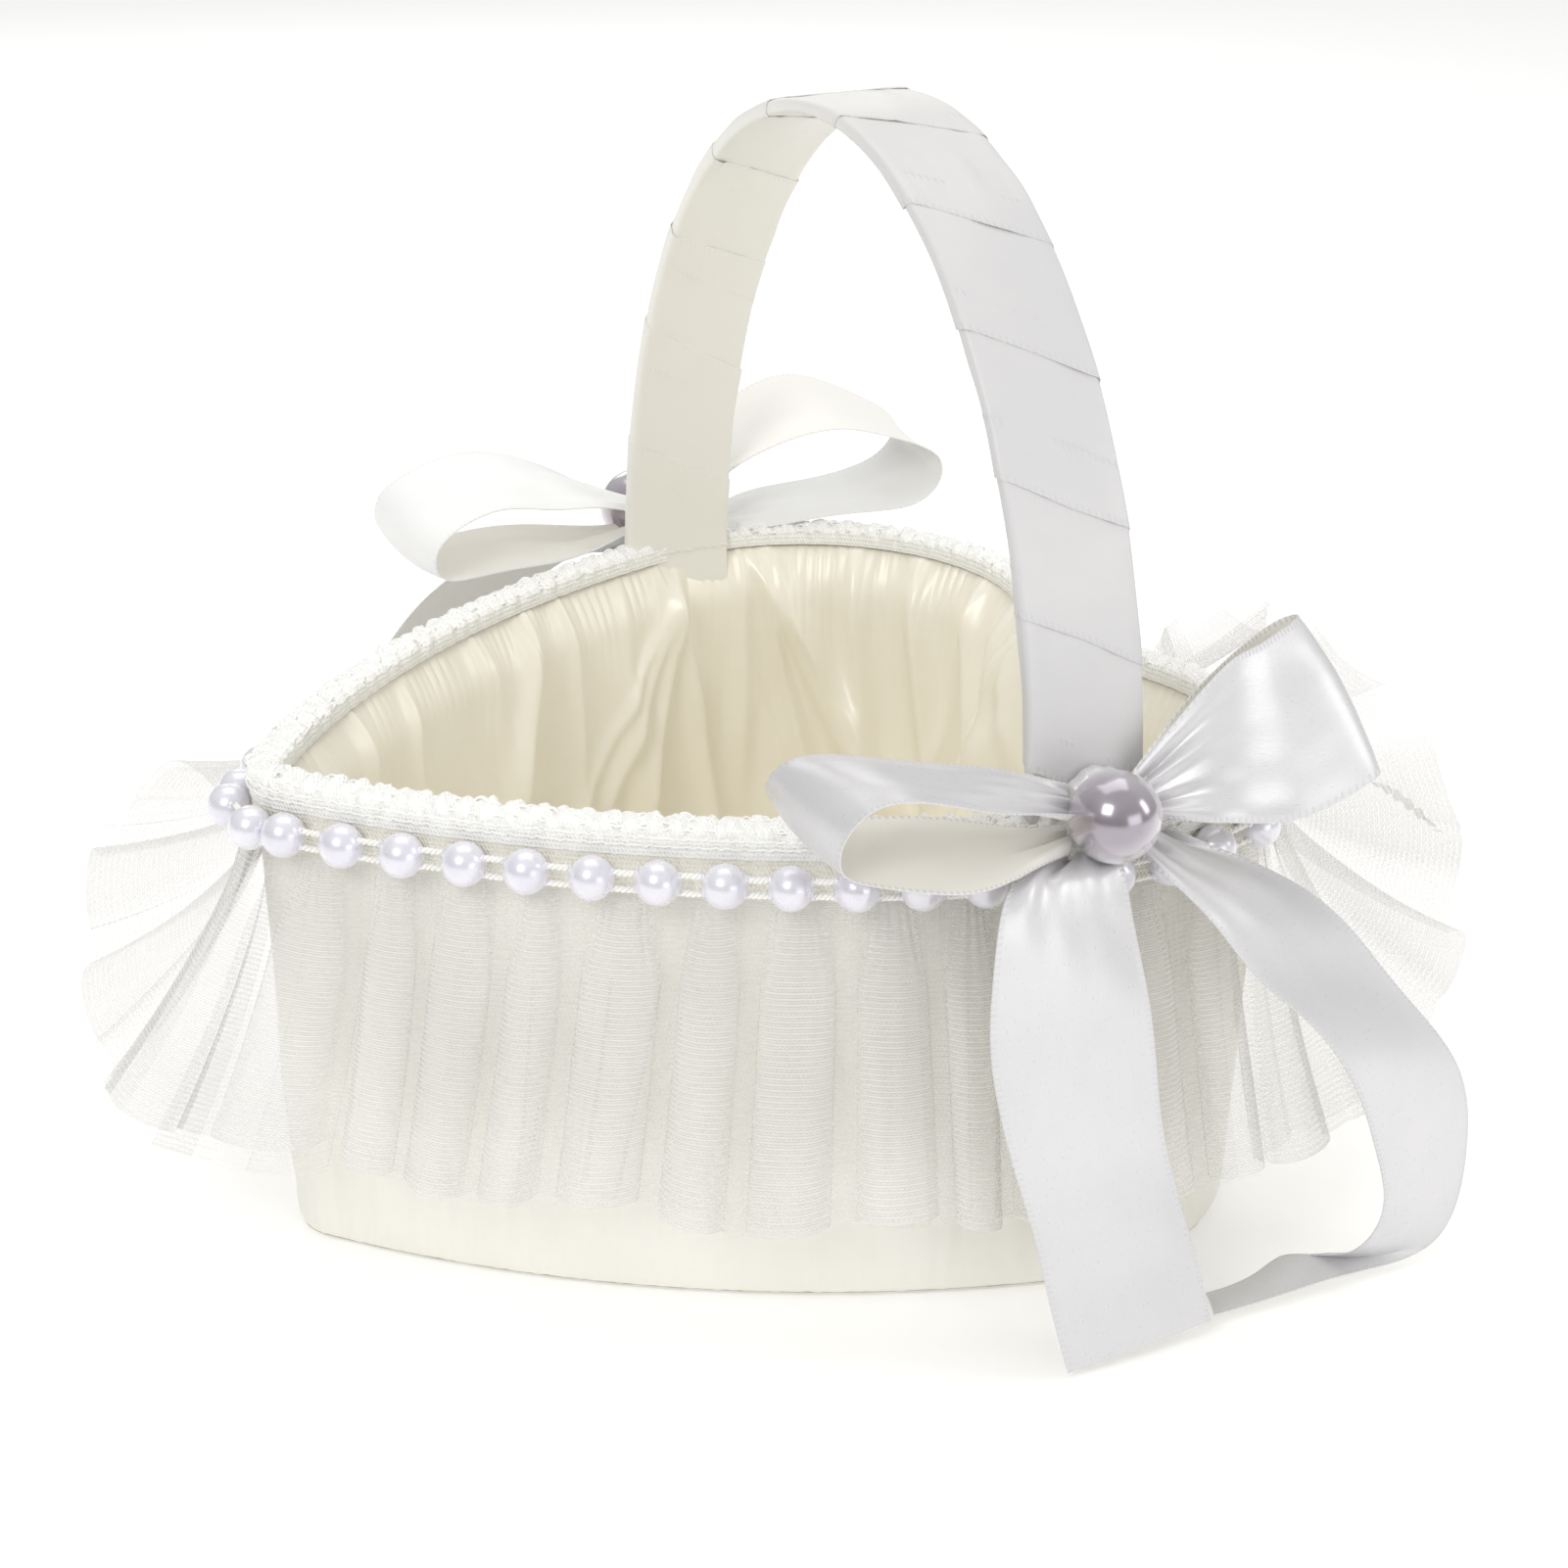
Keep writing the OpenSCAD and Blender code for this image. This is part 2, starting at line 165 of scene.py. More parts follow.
def cloth_piece(name, points, places, wrap=False, thick=0.0):
    """A sheet of cloth over a grid of points, whose places hold (along, across, plies).

    With thick, it is a closed thin shell round the grid, whose places hold (along, across).
    """
    rows, cols = points.shape[:2]
    quads, place_quads = grid_corners(rows, cols, wrap)
    if not thick:
        corner_places = places.reshape(-1, 3)[place_quads].reshape(-1, 3)
        return finish_mesh(name, points.reshape(-1, 3), quads, corner_places)
    flat_places = places.reshape(-1, 2)
    sides = [np.column_stack([flat_places, np.full(len(flat_places), side)]) for side in (0.0, 1.0)]
    offset = grid_normals(points, wrap) * (thick / 2)
    verts = np.vstack([(points + offset).reshape(-1, 3), (points - offset).reshape(-1, 3)])
    count = rows * cols
    r = np.arange(rows if wrap else rows - 1)
    rims = []
    for c in (0, cols - 1):
        here, there = r * cols + c, ((r + 1) % rows) * cols + c
        rims.append((here, there, r * cols + c, (r + 1) * cols + c))
    if not wrap:
        c = np.arange(cols - 1)
        for row in (0, rows - 1):
            rims.append((row * cols + c, row * cols + c + 1, row * cols + c, row * cols + c + 1))
    faces = [quads, quads[:, ::-1] + count]
    corner_places = [sides[0][place_quads].reshape(-1, 3), sides[1][place_quads[:, ::-1]].reshape(-1, 3)]
    for here, there, place_here, place_there in rims:
        faces.append(np.stack([here, there, there + count, here + count], -1))
        edge = np.stack([place_here, place_there, place_there, place_here], -1)
        corner_places.append(sides[0][edge].reshape(-1, 3))
    return finish_mesh(name, verts, np.vstack(faces), np.vstack(corner_places), closed=True)


def tube_grid(path, radius, sides):
    """Points of a tube along a path: rows along it, columns round it"""
    tangent = unit(np.gradient(path, axis=0))
    across = [np.array(Vector(tangent[0]).orthogonal().normalized())]
    for t in tangent[1:]:
        across.append(unit(across[-1] - t * np.dot(across[-1], t)))
    across = np.array(across)
    up = np.cross(tangent, across)
    turn = np.linspace(0, TAU, sides, endpoint=False)[None, :, None]
    return path[:, None] + radius * (np.cos(turn) * across[:, None] + np.sin(turn) * up[:, None])


class Pile:
    """Many small shapes that become one piece"""

    def __init__(self):
        self.verts, self.faces, self.count = [], [], 0

    def add(self, verts, faces):
        self.verts.append(np.asarray(verts).reshape(-1, 3))
        self.faces += (np.asarray(faces) + self.count).tolist()
        self.count += len(self.verts[-1])

    def add_tube(self, path, radius, sides):
        """A tube with its ends drawn to a point"""
        grid = tube_grid(path, radius, sides)
        grid[0] = grid[0].mean(0)
        grid[-1] = grid[-1].mean(0)
        quads, _ = grid_corners(sides, len(path), True)
        self.add(grid.transpose(1, 0, 2), quads)

    def build(self, name, sharp_deg=75):
        return finish_mesh(name, np.vstack(self.verts), self.faces, closed=True, sharp_deg=sharp_deg)


def lathe(profile, segments, centre, axis, x_axis):
    """Points and faces of a profile of (radius, height) pairs turned about an axis"""
    axis = unit(np.asarray(axis, float))
    x_axis = unit(np.asarray(x_axis, float) - axis * np.dot(x_axis, axis))
    y_axis = np.cross(axis, x_axis)
    turn = np.linspace(0, TAU, segments, endpoint=False)
    radius, height = np.asarray(profile, float).T
    ring = np.cos(turn)[:, None, None] * x_axis + np.sin(turn)[:, None, None] * y_axis
    points = np.asarray(centre) + ring * radius[None, :, None] + height[None, :, None] * axis
    quads, _ = grid_corners(segments, len(profile), True)
    return points.reshape(-1, 3), quads


# ---- Materials ----


class Look:
    """A material of one Principled shader. Sockets given by name are set, and others are fed by nodes."""

    def __init__(self, name, **sockets):
        self.material = bpy.data.materials.new(name)
        self.material.use_nodes = True
        self.tree = self.material.node_tree
        self.shader = self.tree.nodes["Principled BSDF"]
        for key, value in sockets.items():
            self.shader.inputs[key.replace("_", " ")].default_value = value

    def node(self, kind, inputs=(), output=0, **settings):
        n = self.tree.nodes.new(kind)
        for key, value in settings.items():
            setattr(n, key, value)
        for key, value in dict(inputs).items():
            if isinstance(value, bpy.types.NodeSocket):
                self.tree.links.new(value, n.inputs[key])
            else:
                n.inputs[key].default_value = value
        return n.outputs[output]

    def feed(self, key, output):
        self.tree.links.new(output, self.shader.inputs[key])

    def calc(self, operation, a, b=0.0, c=0.0):
        return self.node("ShaderNodeMath", {0: a, 1: b, 2: c}, operation=operation)

    def add(self, a, b):
        return self.calc("ADD", a, b)

    def times(self, a, b):
        return self.calc("MULTIPLY", a, b)

    def cloth(self):
        """(along, across, side) on the cloth, in metres"""
        vector = self.node("ShaderNodeAttribute", output=1, attribute_name="cloth")
        split = self.node("ShaderNodeSeparateXYZ", {0: vector}).node
        return vector, split.outputs[0], split.outputs[1], split.outputs[2]

    def place(self):
        return self.node("ShaderNodeTexCoord", output=3)

    def noise(self, vector, scale, detail=3.0, roughness=0.5):
        inputs = {"Vector": vector, "Scale": scale, "Detail": detail, "Roughness": roughness}
        return self.node("ShaderNodeTexNoise", inputs)

    def stretched(self, vector, factors):
        return self.node("ShaderNodeVectorMath", {0: vector, 1: factors}, operation="MULTIPLY")

    def ranged(self, value, low, high, to_low, to_high, **settings):
        inputs = {"Value": value, "From Min": low, "From Max": high, "To Min": to_low, "To Max": to_high}
        return self.node("ShaderNodeMapRange", inputs, **settings)

    def blend(self, factor, a, b):
        """Colour between a and b"""
        n = self.node("ShaderNodeMix", data_type="RGBA").node
        for socket, value in ((n.inputs[0], factor), (n.inputs[6], a), (n.inputs[7], b)):
            if isinstance(value, bpy.types.NodeSocket):
                self.tree.links.new(value, socket)
            else:
                socket.default_value = value
        return n.outputs[2]

    def bump(self, height, distance, strength=1.0):
        inputs = {"Height": height, "Distance": distance, "Strength": strength}
        self.feed("Normal", self.node("ShaderNodeBump", inputs))

    def peak(self, value, pitch, width):
        """1 on lines that repeat at a pitch, falling to 0 at width from them"""
        turns = self.calc("FRACT", self.calc("DIVIDE", value, pitch))
        away = self.calc("ABSOLUTE", self.calc("SUBTRACT", turns, 0.5))
        return self.ranged(away, 0.5, 0.5 - width / pitch, 1.0, 0.0, interpolation_type="SMOOTHSTEP")


def rgb(r, g, b):
    """A colour as a screen shows it, 0 to 255, turned into the linear colour that a shader takes"""
    def linear(c):
        c /= 255
        return c / 12.92 if c <= 0.04045 else ((c + 0.055) / 1.055) ** 2.4
    return linear(r), linear(g), linear(b), 1.0


FLOAT_ALONG, FLOAT_ACROSS = 500.0, 3600.0      # satin floats for each metre of cloth
RIBBON_W = 38 * MM
PICOT_PITCH = 1.5 * MM


def satin(name, light, dark, roughness, sheen=0.15, wrong_side=None, selvedge_w=None, relief=0.05 * MM,
          metallic=0.0, far_leg_painted_light=None, painted_glow=0.0):
    """Satin with long fine floats, soft slubs and, on ribbon, a woven selvedge along both edges"""
    # painted_glow is painted light: a faint emission on cloth that is no lamp
    look = Look(name, Sheen_Weight=sheen, Sheen_Roughness=0.4, Specular_IOR_Level=0.6, Anisotropic=0.35,
                Metallic=metallic, Emission_Color=(1, 1, 1, 1), Emission_Strength=painted_glow)
    vector, along, across, side = look.cloth()
    floats = look.noise(look.stretched(vector, (FLOAT_ALONG, FLOAT_ACROSS, 0)), 1.0, 2.0)
    slubs = look.noise(look.stretched(vector, (60, 260, 0)), 1.0, 3.0)
    clouds = look.noise(look.place(), 22.0, 3.0)
    tone = look.add(look.ranged(clouds, 0.3, 0.7, 0.0, 0.85), look.ranged(slubs, 0.2, 0.8, 0.0, 0.15))
    colour = look.blend(tone, light, dark)
    gloss = look.ranged(floats, 0.3, 0.7, roughness - 0.04, roughness + 0.08)
    height = look.add(look.times(floats, 0.6), look.times(slubs, 0.12))
    if wrong_side:
        colour = look.blend(side, colour, wrong_side)
        gloss = look.add(gloss, look.times(side, 0.22))
    if selvedge_w:
        half = look.calc("SUBTRACT", selvedge_w / 2, look.calc("ABSOLUTE", across))
        edge = look.ranged(half, 1.6 * MM, 1.1 * MM, 0.0, 1.0)
        stitch = look.peak(along, PICOT_PITCH, 0.45 * MM)
        hem_line = look.times(look.peak(half, 3 * MM, 0.5 * MM), look.calc("LESS_THAN", half, 2.2 * MM))
        dots = look.times(stitch, look.times(edge, 0.8))
        colour = look.blend(dots, colour, dark)
        gloss = look.add(gloss, look.times(edge, 0.1))
        ridge = look.add(look.times(dots, 2.0), look.times(hem_line, 1.2))
        height = look.calc("SUBTRACT", height, ridge)
    # Painted light: the colour is blended by place along Y from the front leg's grey to a lighter, warmer
    # tone, so that the far leg reads as lit
    if far_leg_painted_light:
        y = look.node("ShaderNodeSeparateXYZ", {0: look.place()}, output=1)
        colour = look.blend(look.ranged(y, -0.05, 0.06, 0.0, 0.9), colour, far_leg_painted_light)
    look.feed("Base Color", colour)
    look.feed("Roughness", gloss)
    look.bump(height, relief)
    return look.material


NET_ROW = 1.25 * MM                    # between two rows of thread
NET_COLUMN = 1.05 * MM                 # between the short threads of one row
NET_CLOSING = 0.12                     # how much more light the net stops where it is seen along its surface
GAP_COVER, FOLD_COVER = 0.55, 1.12     # how dense the net is drawn between its folds, and on them


def net(name, colour, shade, hem, thin, thick):
    """Tulle: rows of thread along the hem, joined by short threads that are staggered from row to row.

    thin and thick are how much of the light a hole and a thread stop.
    """
    look = Look(name, Roughness=0.65, Sheen_Weight=0.3, Sheen_Roughness=0.5, Specular_IOR_Level=0.25)
    vector, along, across, plies = look.cloth()
    waver = look.times(look.noise(look.stretched(vector, (90, 60, 0)), 1.0, 2.0), 0.3 * MM)
    row_place = look.add(across, waver)
    row = look.peak(row_place, NET_ROW, 0.42 * MM)
    turns = look.calc("DIVIDE", row_place, NET_ROW)
    parity = look.calc("MODULO", look.calc("FLOOR", look.add(turns, 1000.5)), 2.0)
    shifted = look.add(look.add(along, waver), look.times(parity, NET_COLUMN / 2))
    link = look.times(look.peak(shifted, NET_COLUMN, 0.3 * MM), 0.75)
    thread = look.calc("MAXIMUM", row, link)
    hem_band = look.ranged(across, hem - 1.1 * MM, hem - 0.7 * MM, 0.0, 0.8)
    thread = look.calc("MAXIMUM", thread, hem_band)
    patches = look.noise(look.place(), 35.0, 2.0)
    look.feed("Base Color", look.blend(look.ranged(patches, 0.3, 0.7, 0.0, 1.0), colour, shade))
    along_view = look.node("ShaderNodeLayerWeight", {"Blend": 0.5}, output=1)
    closing = look.times(look.calc("POWER", along_view, 2.0), NET_CLOSING)
    cover = look.add(look.ranged(thread, 0.0, 1.0, thin, thick), closing)
    look.feed("Alpha", look.times(cover, look.ranged(plies, 0.0, 1.0, GAP_COVER, FOLD_COVER)))
    look.bump(thread, 0.05 * MM)
    return look.material


def lace_yarn(name, light, dark):
    """Soft cotton yarn, with a fine twist and darker patches that are painted shade between its fibres"""
    look = Look(name, Roughness=0.8, Sheen_Weight=0.35, Sheen_Roughness=0.5, Specular_IOR_Level=0.2)
    place = look.place()
    fuzz = look.noise(place, 900.0, 3.0)
    fibres = look.noise(look.stretched(place, (2600, 2600, 900)), 1.0, 2.0)
    # Painted shade: darker patches stand for shade between the fibres
    fibre_gap_shade = look.ranged(look.noise(place, 420.0, 2.0), 0.36, 0.56, 0.4, 0.0)
    look.feed("Base Color", look.blend(fibre_gap_shade, light, dark))
    look.bump(look.add(fuzz, fibres), 0.15 * MM)
    return look.material


def braid_weave(name, light, dark):
    """Woven lace braid: cords along it crossed by fine stitches, with small openings that are painted darker
    as shade
    """
    look = Look(name, Roughness=0.75, Sheen_Weight=0.3, Sheen_Roughness=0.5, Specular_IOR_Level=0.25)
    vector, along, across, _ = look.cloth()
    cords = look.peak(across, 1.1 * MM, 0.5 * MM)
    stitches = look.peak(look.add(along, look.times(across, 0.5)), 0.9 * MM, 0.4 * MM)
    rough = look.noise(look.stretched(vector, (900, 1400, 0)), 1.0, 3.0)
    height = look.add(look.add(cords, stitches), look.times(rough, 1.6))
    # Painted shade: where the weave is low the colour turns darker
    low_weave_shade = look.ranged(height, 0.75, 1.25, 0.4, 0.0)
    look.feed("Base Color", look.blend(low_weave_shade, light, dark))
    look.bump(height, 0.14 * MM)
    return look.material


def pearl_look(name, light, dark, edge, rim_sheen_blend, rim_sheen_span, grain, detail, gloss, relief, **sockets):
    """Lacquered pearl with faint cloudy layers, whose colour turns lighter towards its edge as a painted
    sheen
    """
    look = Look(name, Specular_IOR_Level=0.6, **sockets)
    rim = look.node("ShaderNodeLayerWeight", {"Blend": rim_sheen_blend}, output=1)
    clouds = look.noise(look.place(), grain, detail)
    body = look.blend(look.ranged(clouds, 0.3, 0.7, 0.0, 1.0), light, dark)
    # Painted sheen: where the surface is seen side-on the colour turns to the light edge colour
    look.feed("Base Color", look.blend(look.ranged(rim, *rim_sheen_span), body, edge))
    look.feed("Roughness", look.ranged(clouds, 0.3, 0.7, *gloss))
    look.bump(clouds, relief)
    return look.material


def grained(name, light, dark, grain, detail, relief, span=(0, 1), gloss=None, harshness=0.5, **sockets):
    """One fine grain that sets colour and relief. grain holds how dense it is along X, Y and Z."""
    look = Look(name, **sockets)
    marks = look.noise(look.stretched(look.place(), grain), 1.0, detail, harshness)
    look.feed("Base Color", look.blend(look.ranged(marks, *span, 0.0, 1.0), light, dark))
    if gloss:
        look.feed("Roughness", look.ranged(marks, 0.3, 0.7, *gloss))
    look.bump(marks, relief)
    return look.material


LOOKS = {
    "cover": satin("cover_satin", rgb(245, 244, 236), rgb(238, 236, 226), 0.48, 0.2),
    "lining": satin("lining_satin", rgb(249, 245, 232), rgb(243, 238, 222), 0.33, 0.1,
                    relief=0.015 * MM, metallic=0.07),
    "handle": satin("handle_satin", rgb(213, 212, 212), rgb(204, 203, 204), 0.36, 0.15,
                    wrong_side=rgb(226, 226, 220), selvedge_w=RIBBON_W,
                    # painted light on the handle's far leg
                    far_leg_painted_light=rgb(243, 242, 235)),
    "bow": satin("bow_satin", rgb(221, 220, 221), rgb(210, 209, 211), 0.31, 0.10,
                 wrong_side=rgb(242, 240, 234), selvedge_w=RIBBON_W, metallic=0.28),
    # Painted light: the back bow is the same ribbon as the front bow, painted lighter and given a faint
    # emission so that it reads as lit through
    "back_bow": satin("back_bow_satin_painted_lit", rgb(243, 243, 242), rgb(235, 235, 233), 0.40, 0.15,
                      wrong_side=rgb(242, 240, 234), selvedge_w=RIBBON_W, painted_glow=0.03),
    "braid": braid_weave("braid_weave", rgb(255, 255, 252), rgb(240, 237, 227)),
    "yarn": lace_yarn("lace_yarn", rgb(255, 255, 253), rgb(242, 239, 231)),
    "tape": braid_weave("tape_weave", rgb(246, 243, 232), rgb(226, 220, 204)),
    "thread": grained("bead_thread", rgb(252, 252, 250), rgb(240, 238, 230), (3500, 3500, 3500), 2.0,
                      0.08 * MM, Roughness=0.38, Sheen_Weight=0.3, Sheen_Roughness=0.4),
    # The third colour of each pearl is the painted sheen at its edge
    "small_pearl": pearl_look("small_pearl_lacquer", rgb(232, 231, 238), rgb(223, 221, 231),
                              rgb(244, 243, 248), 0.45, (0.2, 0.9, 0.0, 0.9), 160.0, 3.0, (0.24, 0.32),
                              0.03 * MM,
                              Coat_Weight=0.35, Coat_Roughness=0.22, Metallic=0.35, Sheen_Weight=0.1),
    "big_pearl": pearl_look("big_pearl_lacquer", rgb(172, 165, 173), rgb(158, 151, 160), rgb(240, 237, 241),
                            0.4, (0.15, 0.85, 0.0, 1.0), 110.0, 4.0, (0.17, 0.23), 0.02 * MM,
                            Coat_Weight=0.5, Coat_Roughness=0.14, Metallic=0.75),
    "board": grained("pressed_board", rgb(201, 194, 178), rgb(176, 168, 150), (400, 400, 1200), 4.0,
                     0.15 * MM, span=(0.35, 0.65), Roughness=0.9, Specular_IOR_Level=0.2),
    "wire": grained("steel_wire", rgb(196, 196, 198), rgb(150, 150, 154), (300, 300, 4000), 3.0, 0.02 * MM,
                    gloss=(0.28, 0.42), Metallic=1.0),
    "wadding": grained("wadding_fibre", rgb(246, 246, 243), rgb(222, 222, 216), (260, 260, 260), 5.0,
                       0.9 * MM, harshness=0.7, Roughness=1.0, Sheen_Weight=0.6, Sheen_Roughness=0.7,
                       Specular_IOR_Level=0.1),
}


def dress(piece, look, slot, *nodes):
    """Gives a piece its material, fixes it to the basket and lets it stand for CAD nodes. slot is not used.
    """
    piece.data.materials.clear()
    piece.data.materials.append(LOOKS[look])
    if nodes:
        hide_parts(*nodes)
    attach(piece, "root")


# ---- What the frame gives ----


class HeartWall:
    """The wall's outer face, read from the CAD shell. u runs from 0 to 1 anticlockwise from the dip."""

    SAMPLES = 2880

    def __init__(self):
        low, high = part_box("shell_wall")
        self.z0, self.z1 = low.z, high.z
        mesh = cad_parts["shell_wall"].data
        middle = (self.z0 + self.z1) / 2
        corners = set()
        for face in mesh.polygons:
            outward = face.normal.x * (face.center.x - TAPER_X) + face.normal.y * face.center.y
            if abs(face.normal.z) < 0.5 and outward > 0:
                corners |= {tuple(round(x, 7) for x in mesh.vertices[i].co) for i in face.vertices}
        rings = []
        for at_top in (False, True):
            ring = np.array([c for c in corners if (c[2] > middle) == at_top])[:, :2]
            angle = np.arctan2(ring[:, 1], ring[:, 0] - TAPER_X) + 1e-6
            rings.append(ring[np.argsort(angle % TAU)])
        bottom, top = [self.closed_curve(ring) for ring in rings]
        to = length_to(np.vstack([top, top[:1]]))
        self.length = to[-1]
        share = to[:-1] / self.length
        self.grid = np.arange(self.SAMPLES) / self.SAMPLES
        self.top = self.resampled(share, top)
        self.bottom = self.resampled(share, bottom)
        along = np.roll(self.top, -1, 0) - np.roll(self.top, 1, 0)
        self.outward = unit(np.column_stack([along[:, 1], -along[:, 0]]))

    def closed_curve(self, ring, steps=12):
        """Catmull-Rom curve through a closed ring"""
        a, b, c, d = np.roll(ring, 1, 0), ring, np.roll(ring, -1, 0), np.roll(ring, -2, 0)
        t = (np.arange(steps) / steps)[None, :, None]
        return catmull(a[:, None], b[:, None], c[:, None], d[:, None], t).reshape(-1, 2)

    def resampled(self, share, curve):
        return np.column_stack([np.interp(self.grid, share, curve[:, k], period=1) for k in range(2)])

    def read(self, table, u):
        return np.stack([np.interp(u % 1, self.grid, table[:, k], period=1) for k in range(2)], -1)

    def point(self, u, z, out):
        """Point at u round the wall and height z, moved outward from the wall's face by out"""
        u, z, out = np.broadcast_arrays(*(np.asarray(x, float) for x in (u, z, out)))
        share = ((z - self.z0) / (self.z1 - self.z0))[..., None]
        place = mix(self.read(self.bottom, u), self.read(self.top, u), share)
        return np.concatenate([place + out[..., None] * unit(self.read(self.outward, u)), z[..., None]], -1)

    def u_at(self, degrees):
        """u of the wall's place in a direction seen from the middle of the taper"""
        angle = np.degrees(np.arctan2(self.top[:, 1], self.top[:, 0] - TAPER_X)) % 360
        return float(self.grid[np.argmin(np.abs((angle - degrees + 180) % 360 - 180))])


TAPER_X = 0.010          # the wall tapers towards this place along X
wall = HeartWall()
rim_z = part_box("rim_wire")[1].z
pearl_low, pearl_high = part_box("pearl_string")
pearl_z = (pearl_low.z + pearl_high.z) / 2
PEARL_R = (pearl_high.z - pearl_low.z) / 2
floor_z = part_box("lining_floor")[1].z
lining_face = -9.3 * MM   # the lining's face inside the wall, from the wall's outer face
cover_face = 0.8 * MM     # the cover's face, out from the wall's outer face


# ---- Outer cover and bottom ----


def make_outer_cover():
    rows, edge_r = 900, 3.5 * MM
    under = [(out * MM, 0.35 * MM) for out in (-11, -9.5, -8, -6.5, -5)]
    turn = np.radians(np.linspace(-90, 0, 9))
    corner = [(edge_r * (math.cos(a) - 1), 0.35 * MM + edge_r * (1 + math.sin(a))) for a in turn]
    upright = [(0.0, z) for z in np.linspace(corner[-1][1] + 2 * MM, wall.z1 - 1 * MM, 60)]
    out, z = np.array(under + corner + upright).T
    u = ring_u(rows)
    run = length_to(np.column_stack([out, z]))
    ease = smoothstep(4 * MM, 16 * MM, z) * (1 - smoothstep(88 * MM, 100 * MM, z))
    folds = np.maximum(ripple(u, 34, 11, z / 0.11, 1.2), -0.2) + 0.35 * ripple(u, 95, 12, z / 0.11, 2.5)
    pucker = (0.5 + 0.5 * ripple(u, 140, 13)) * np.exp(-((z - 7 * MM) / (5 * MM)) ** 2)
    lift = cover_face * 0.4 + 0.9 * MM * ease * (0.35 + folds) + 0.35 * MM * pucker
    points = wall.point(u, z[None, :], out[None, :] + lift)
    places = laid_round(rows, wall.length, run[None, :])
    cover = cloth_piece("outer_cover_satin", points, places, wrap=True, thick=0.45 * MM)
    dress(cover, "cover", "satin_cover", "outer_cover")


def heart_disc(name, out, z_bottom, z_top, edge_r, relief, rows=420, cols=64):
    """Closed soft plate of the heart's shape. relief(x, y, share) lifts its top."""
    u = np.arange(rows) / rows
    rim = wall.point(u, (z_bottom + z_top) / 2, out)[:, :2]
    middle = np.array([TAPER_X - 0.012, 0.0])
    span = np.hypot(*(rim - middle).T).mean()
    share = np.sin(np.linspace(0, 1, cols) * math.pi / 2)
    edge = np.clip((1 - share) * span / edge_r, 0, 1)
    crown = np.sqrt(np.maximum(1 - (1 - edge) ** 2, 0))
    flat = middle + (rim - middle)[:, None] * share[None, :, None]
    half = (z_top - z_bottom) / 2
    top_z = z_bottom + half + half * crown[None, :] + relief(flat[..., 0], flat[..., 1], share[None, :])
    bottom_z = np.broadcast_to(z_bottom + half - half * crown[None, :], top_z.shape)
    top = np.concatenate([flat, top_z[..., None]], -1)
    bottom = np.concatenate([flat, bottom_z[..., None]], -1)[:, ::-1]
    points = np.concatenate([top, bottom[:, 1:]], 1)
    quads, _ = grid_corners(rows, points.shape[1], True)
    verts = points.reshape(-1, 3)
    places = np.column_stack([verts[:, :2], np.zeros(len(verts))])[quads].reshape(-1, 3)
    return finish_mesh(name, verts, quads, places, closed=True)


def make_bottom():
    def fabric(x, y, share):
        return 0.12 * MM * ripple(x / 0.3, 6, 21, y / 0.3, 6) * (1 - share)
    low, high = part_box("base_cover")
    cover = heart_disc("base_cover_satin", -2.6 * MM, low.z, high.z, 1.2 * MM, fabric)
    dress(cover, "cover", "satin_cover", "base_cover")


def make_padded_floor():
    low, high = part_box("floor_pad")
    half_lining = lining_face - 0.8 * MM

    def tufts(x, y, share):
        return 0.5 * MM * ripple(x / 0.3, 9, 31, y / 0.3, 9) * (1 - share ** 4)

    def creases(x, y, share):
        soft = 0.9 * MM * ripple(x / 0.3, 5, 32, y / 0.3, 6)
        ridge = 1 - np.abs(ripple(x / 0.3, 4, 33, y / 0.3, 5))
        return (soft + 1.5 * MM * np.maximum(ridge, 0) ** 5 + 1.2 * MM) * (1 - share ** 6)

    pad = heart_disc("floor_wadding", half_lining, low.z, high.z, 3 * MM, tufts)
    dress(pad, "wadding", "wadding", "floor_pad")
    satin_z = (floor_z - 0.5 * MM, floor_z + 0.6 * MM)
    top = heart_disc("lining_floor_satin", half_lining, *satin_z, 1.5 * MM, creases)
    dress(top, "lining", "satin_lining", "lining_floor")


# ---- Gathered lining ----


def ridge_field(u, w, ridges):
    """Height of a heap of soft ridges. Each is (u, drift, bend, first w, last w, half width, height)."""
    total = np.zeros(np.broadcast(u, w).shape)
    for at, drift, bend, first, last, half, height in ridges:
        t = (w - first) / (last - first)
        path = at + drift * t + bend * t * t
        away = np.abs((u - path + 0.5) % 1 - 0.5) * wall.length
        width = half * (0.55 + 0.75 * np.clip(t, 0, 1))
        fade = smoothstep(-0.12, 0.18, t) * (1 - smoothstep(0.55, 1.05, t))
        total += height * fade * np.exp(-(away / width) ** 1.7)
    return total


# The long folds seen in the photo: direction from the middle, and how far round the wall each one drifts
LONG_FOLDS = ((80, -0.075), (66, -0.02), (54, -0.03), (40, -0.045), (27, -0.02), (12, -0.03), (128, 0.05))


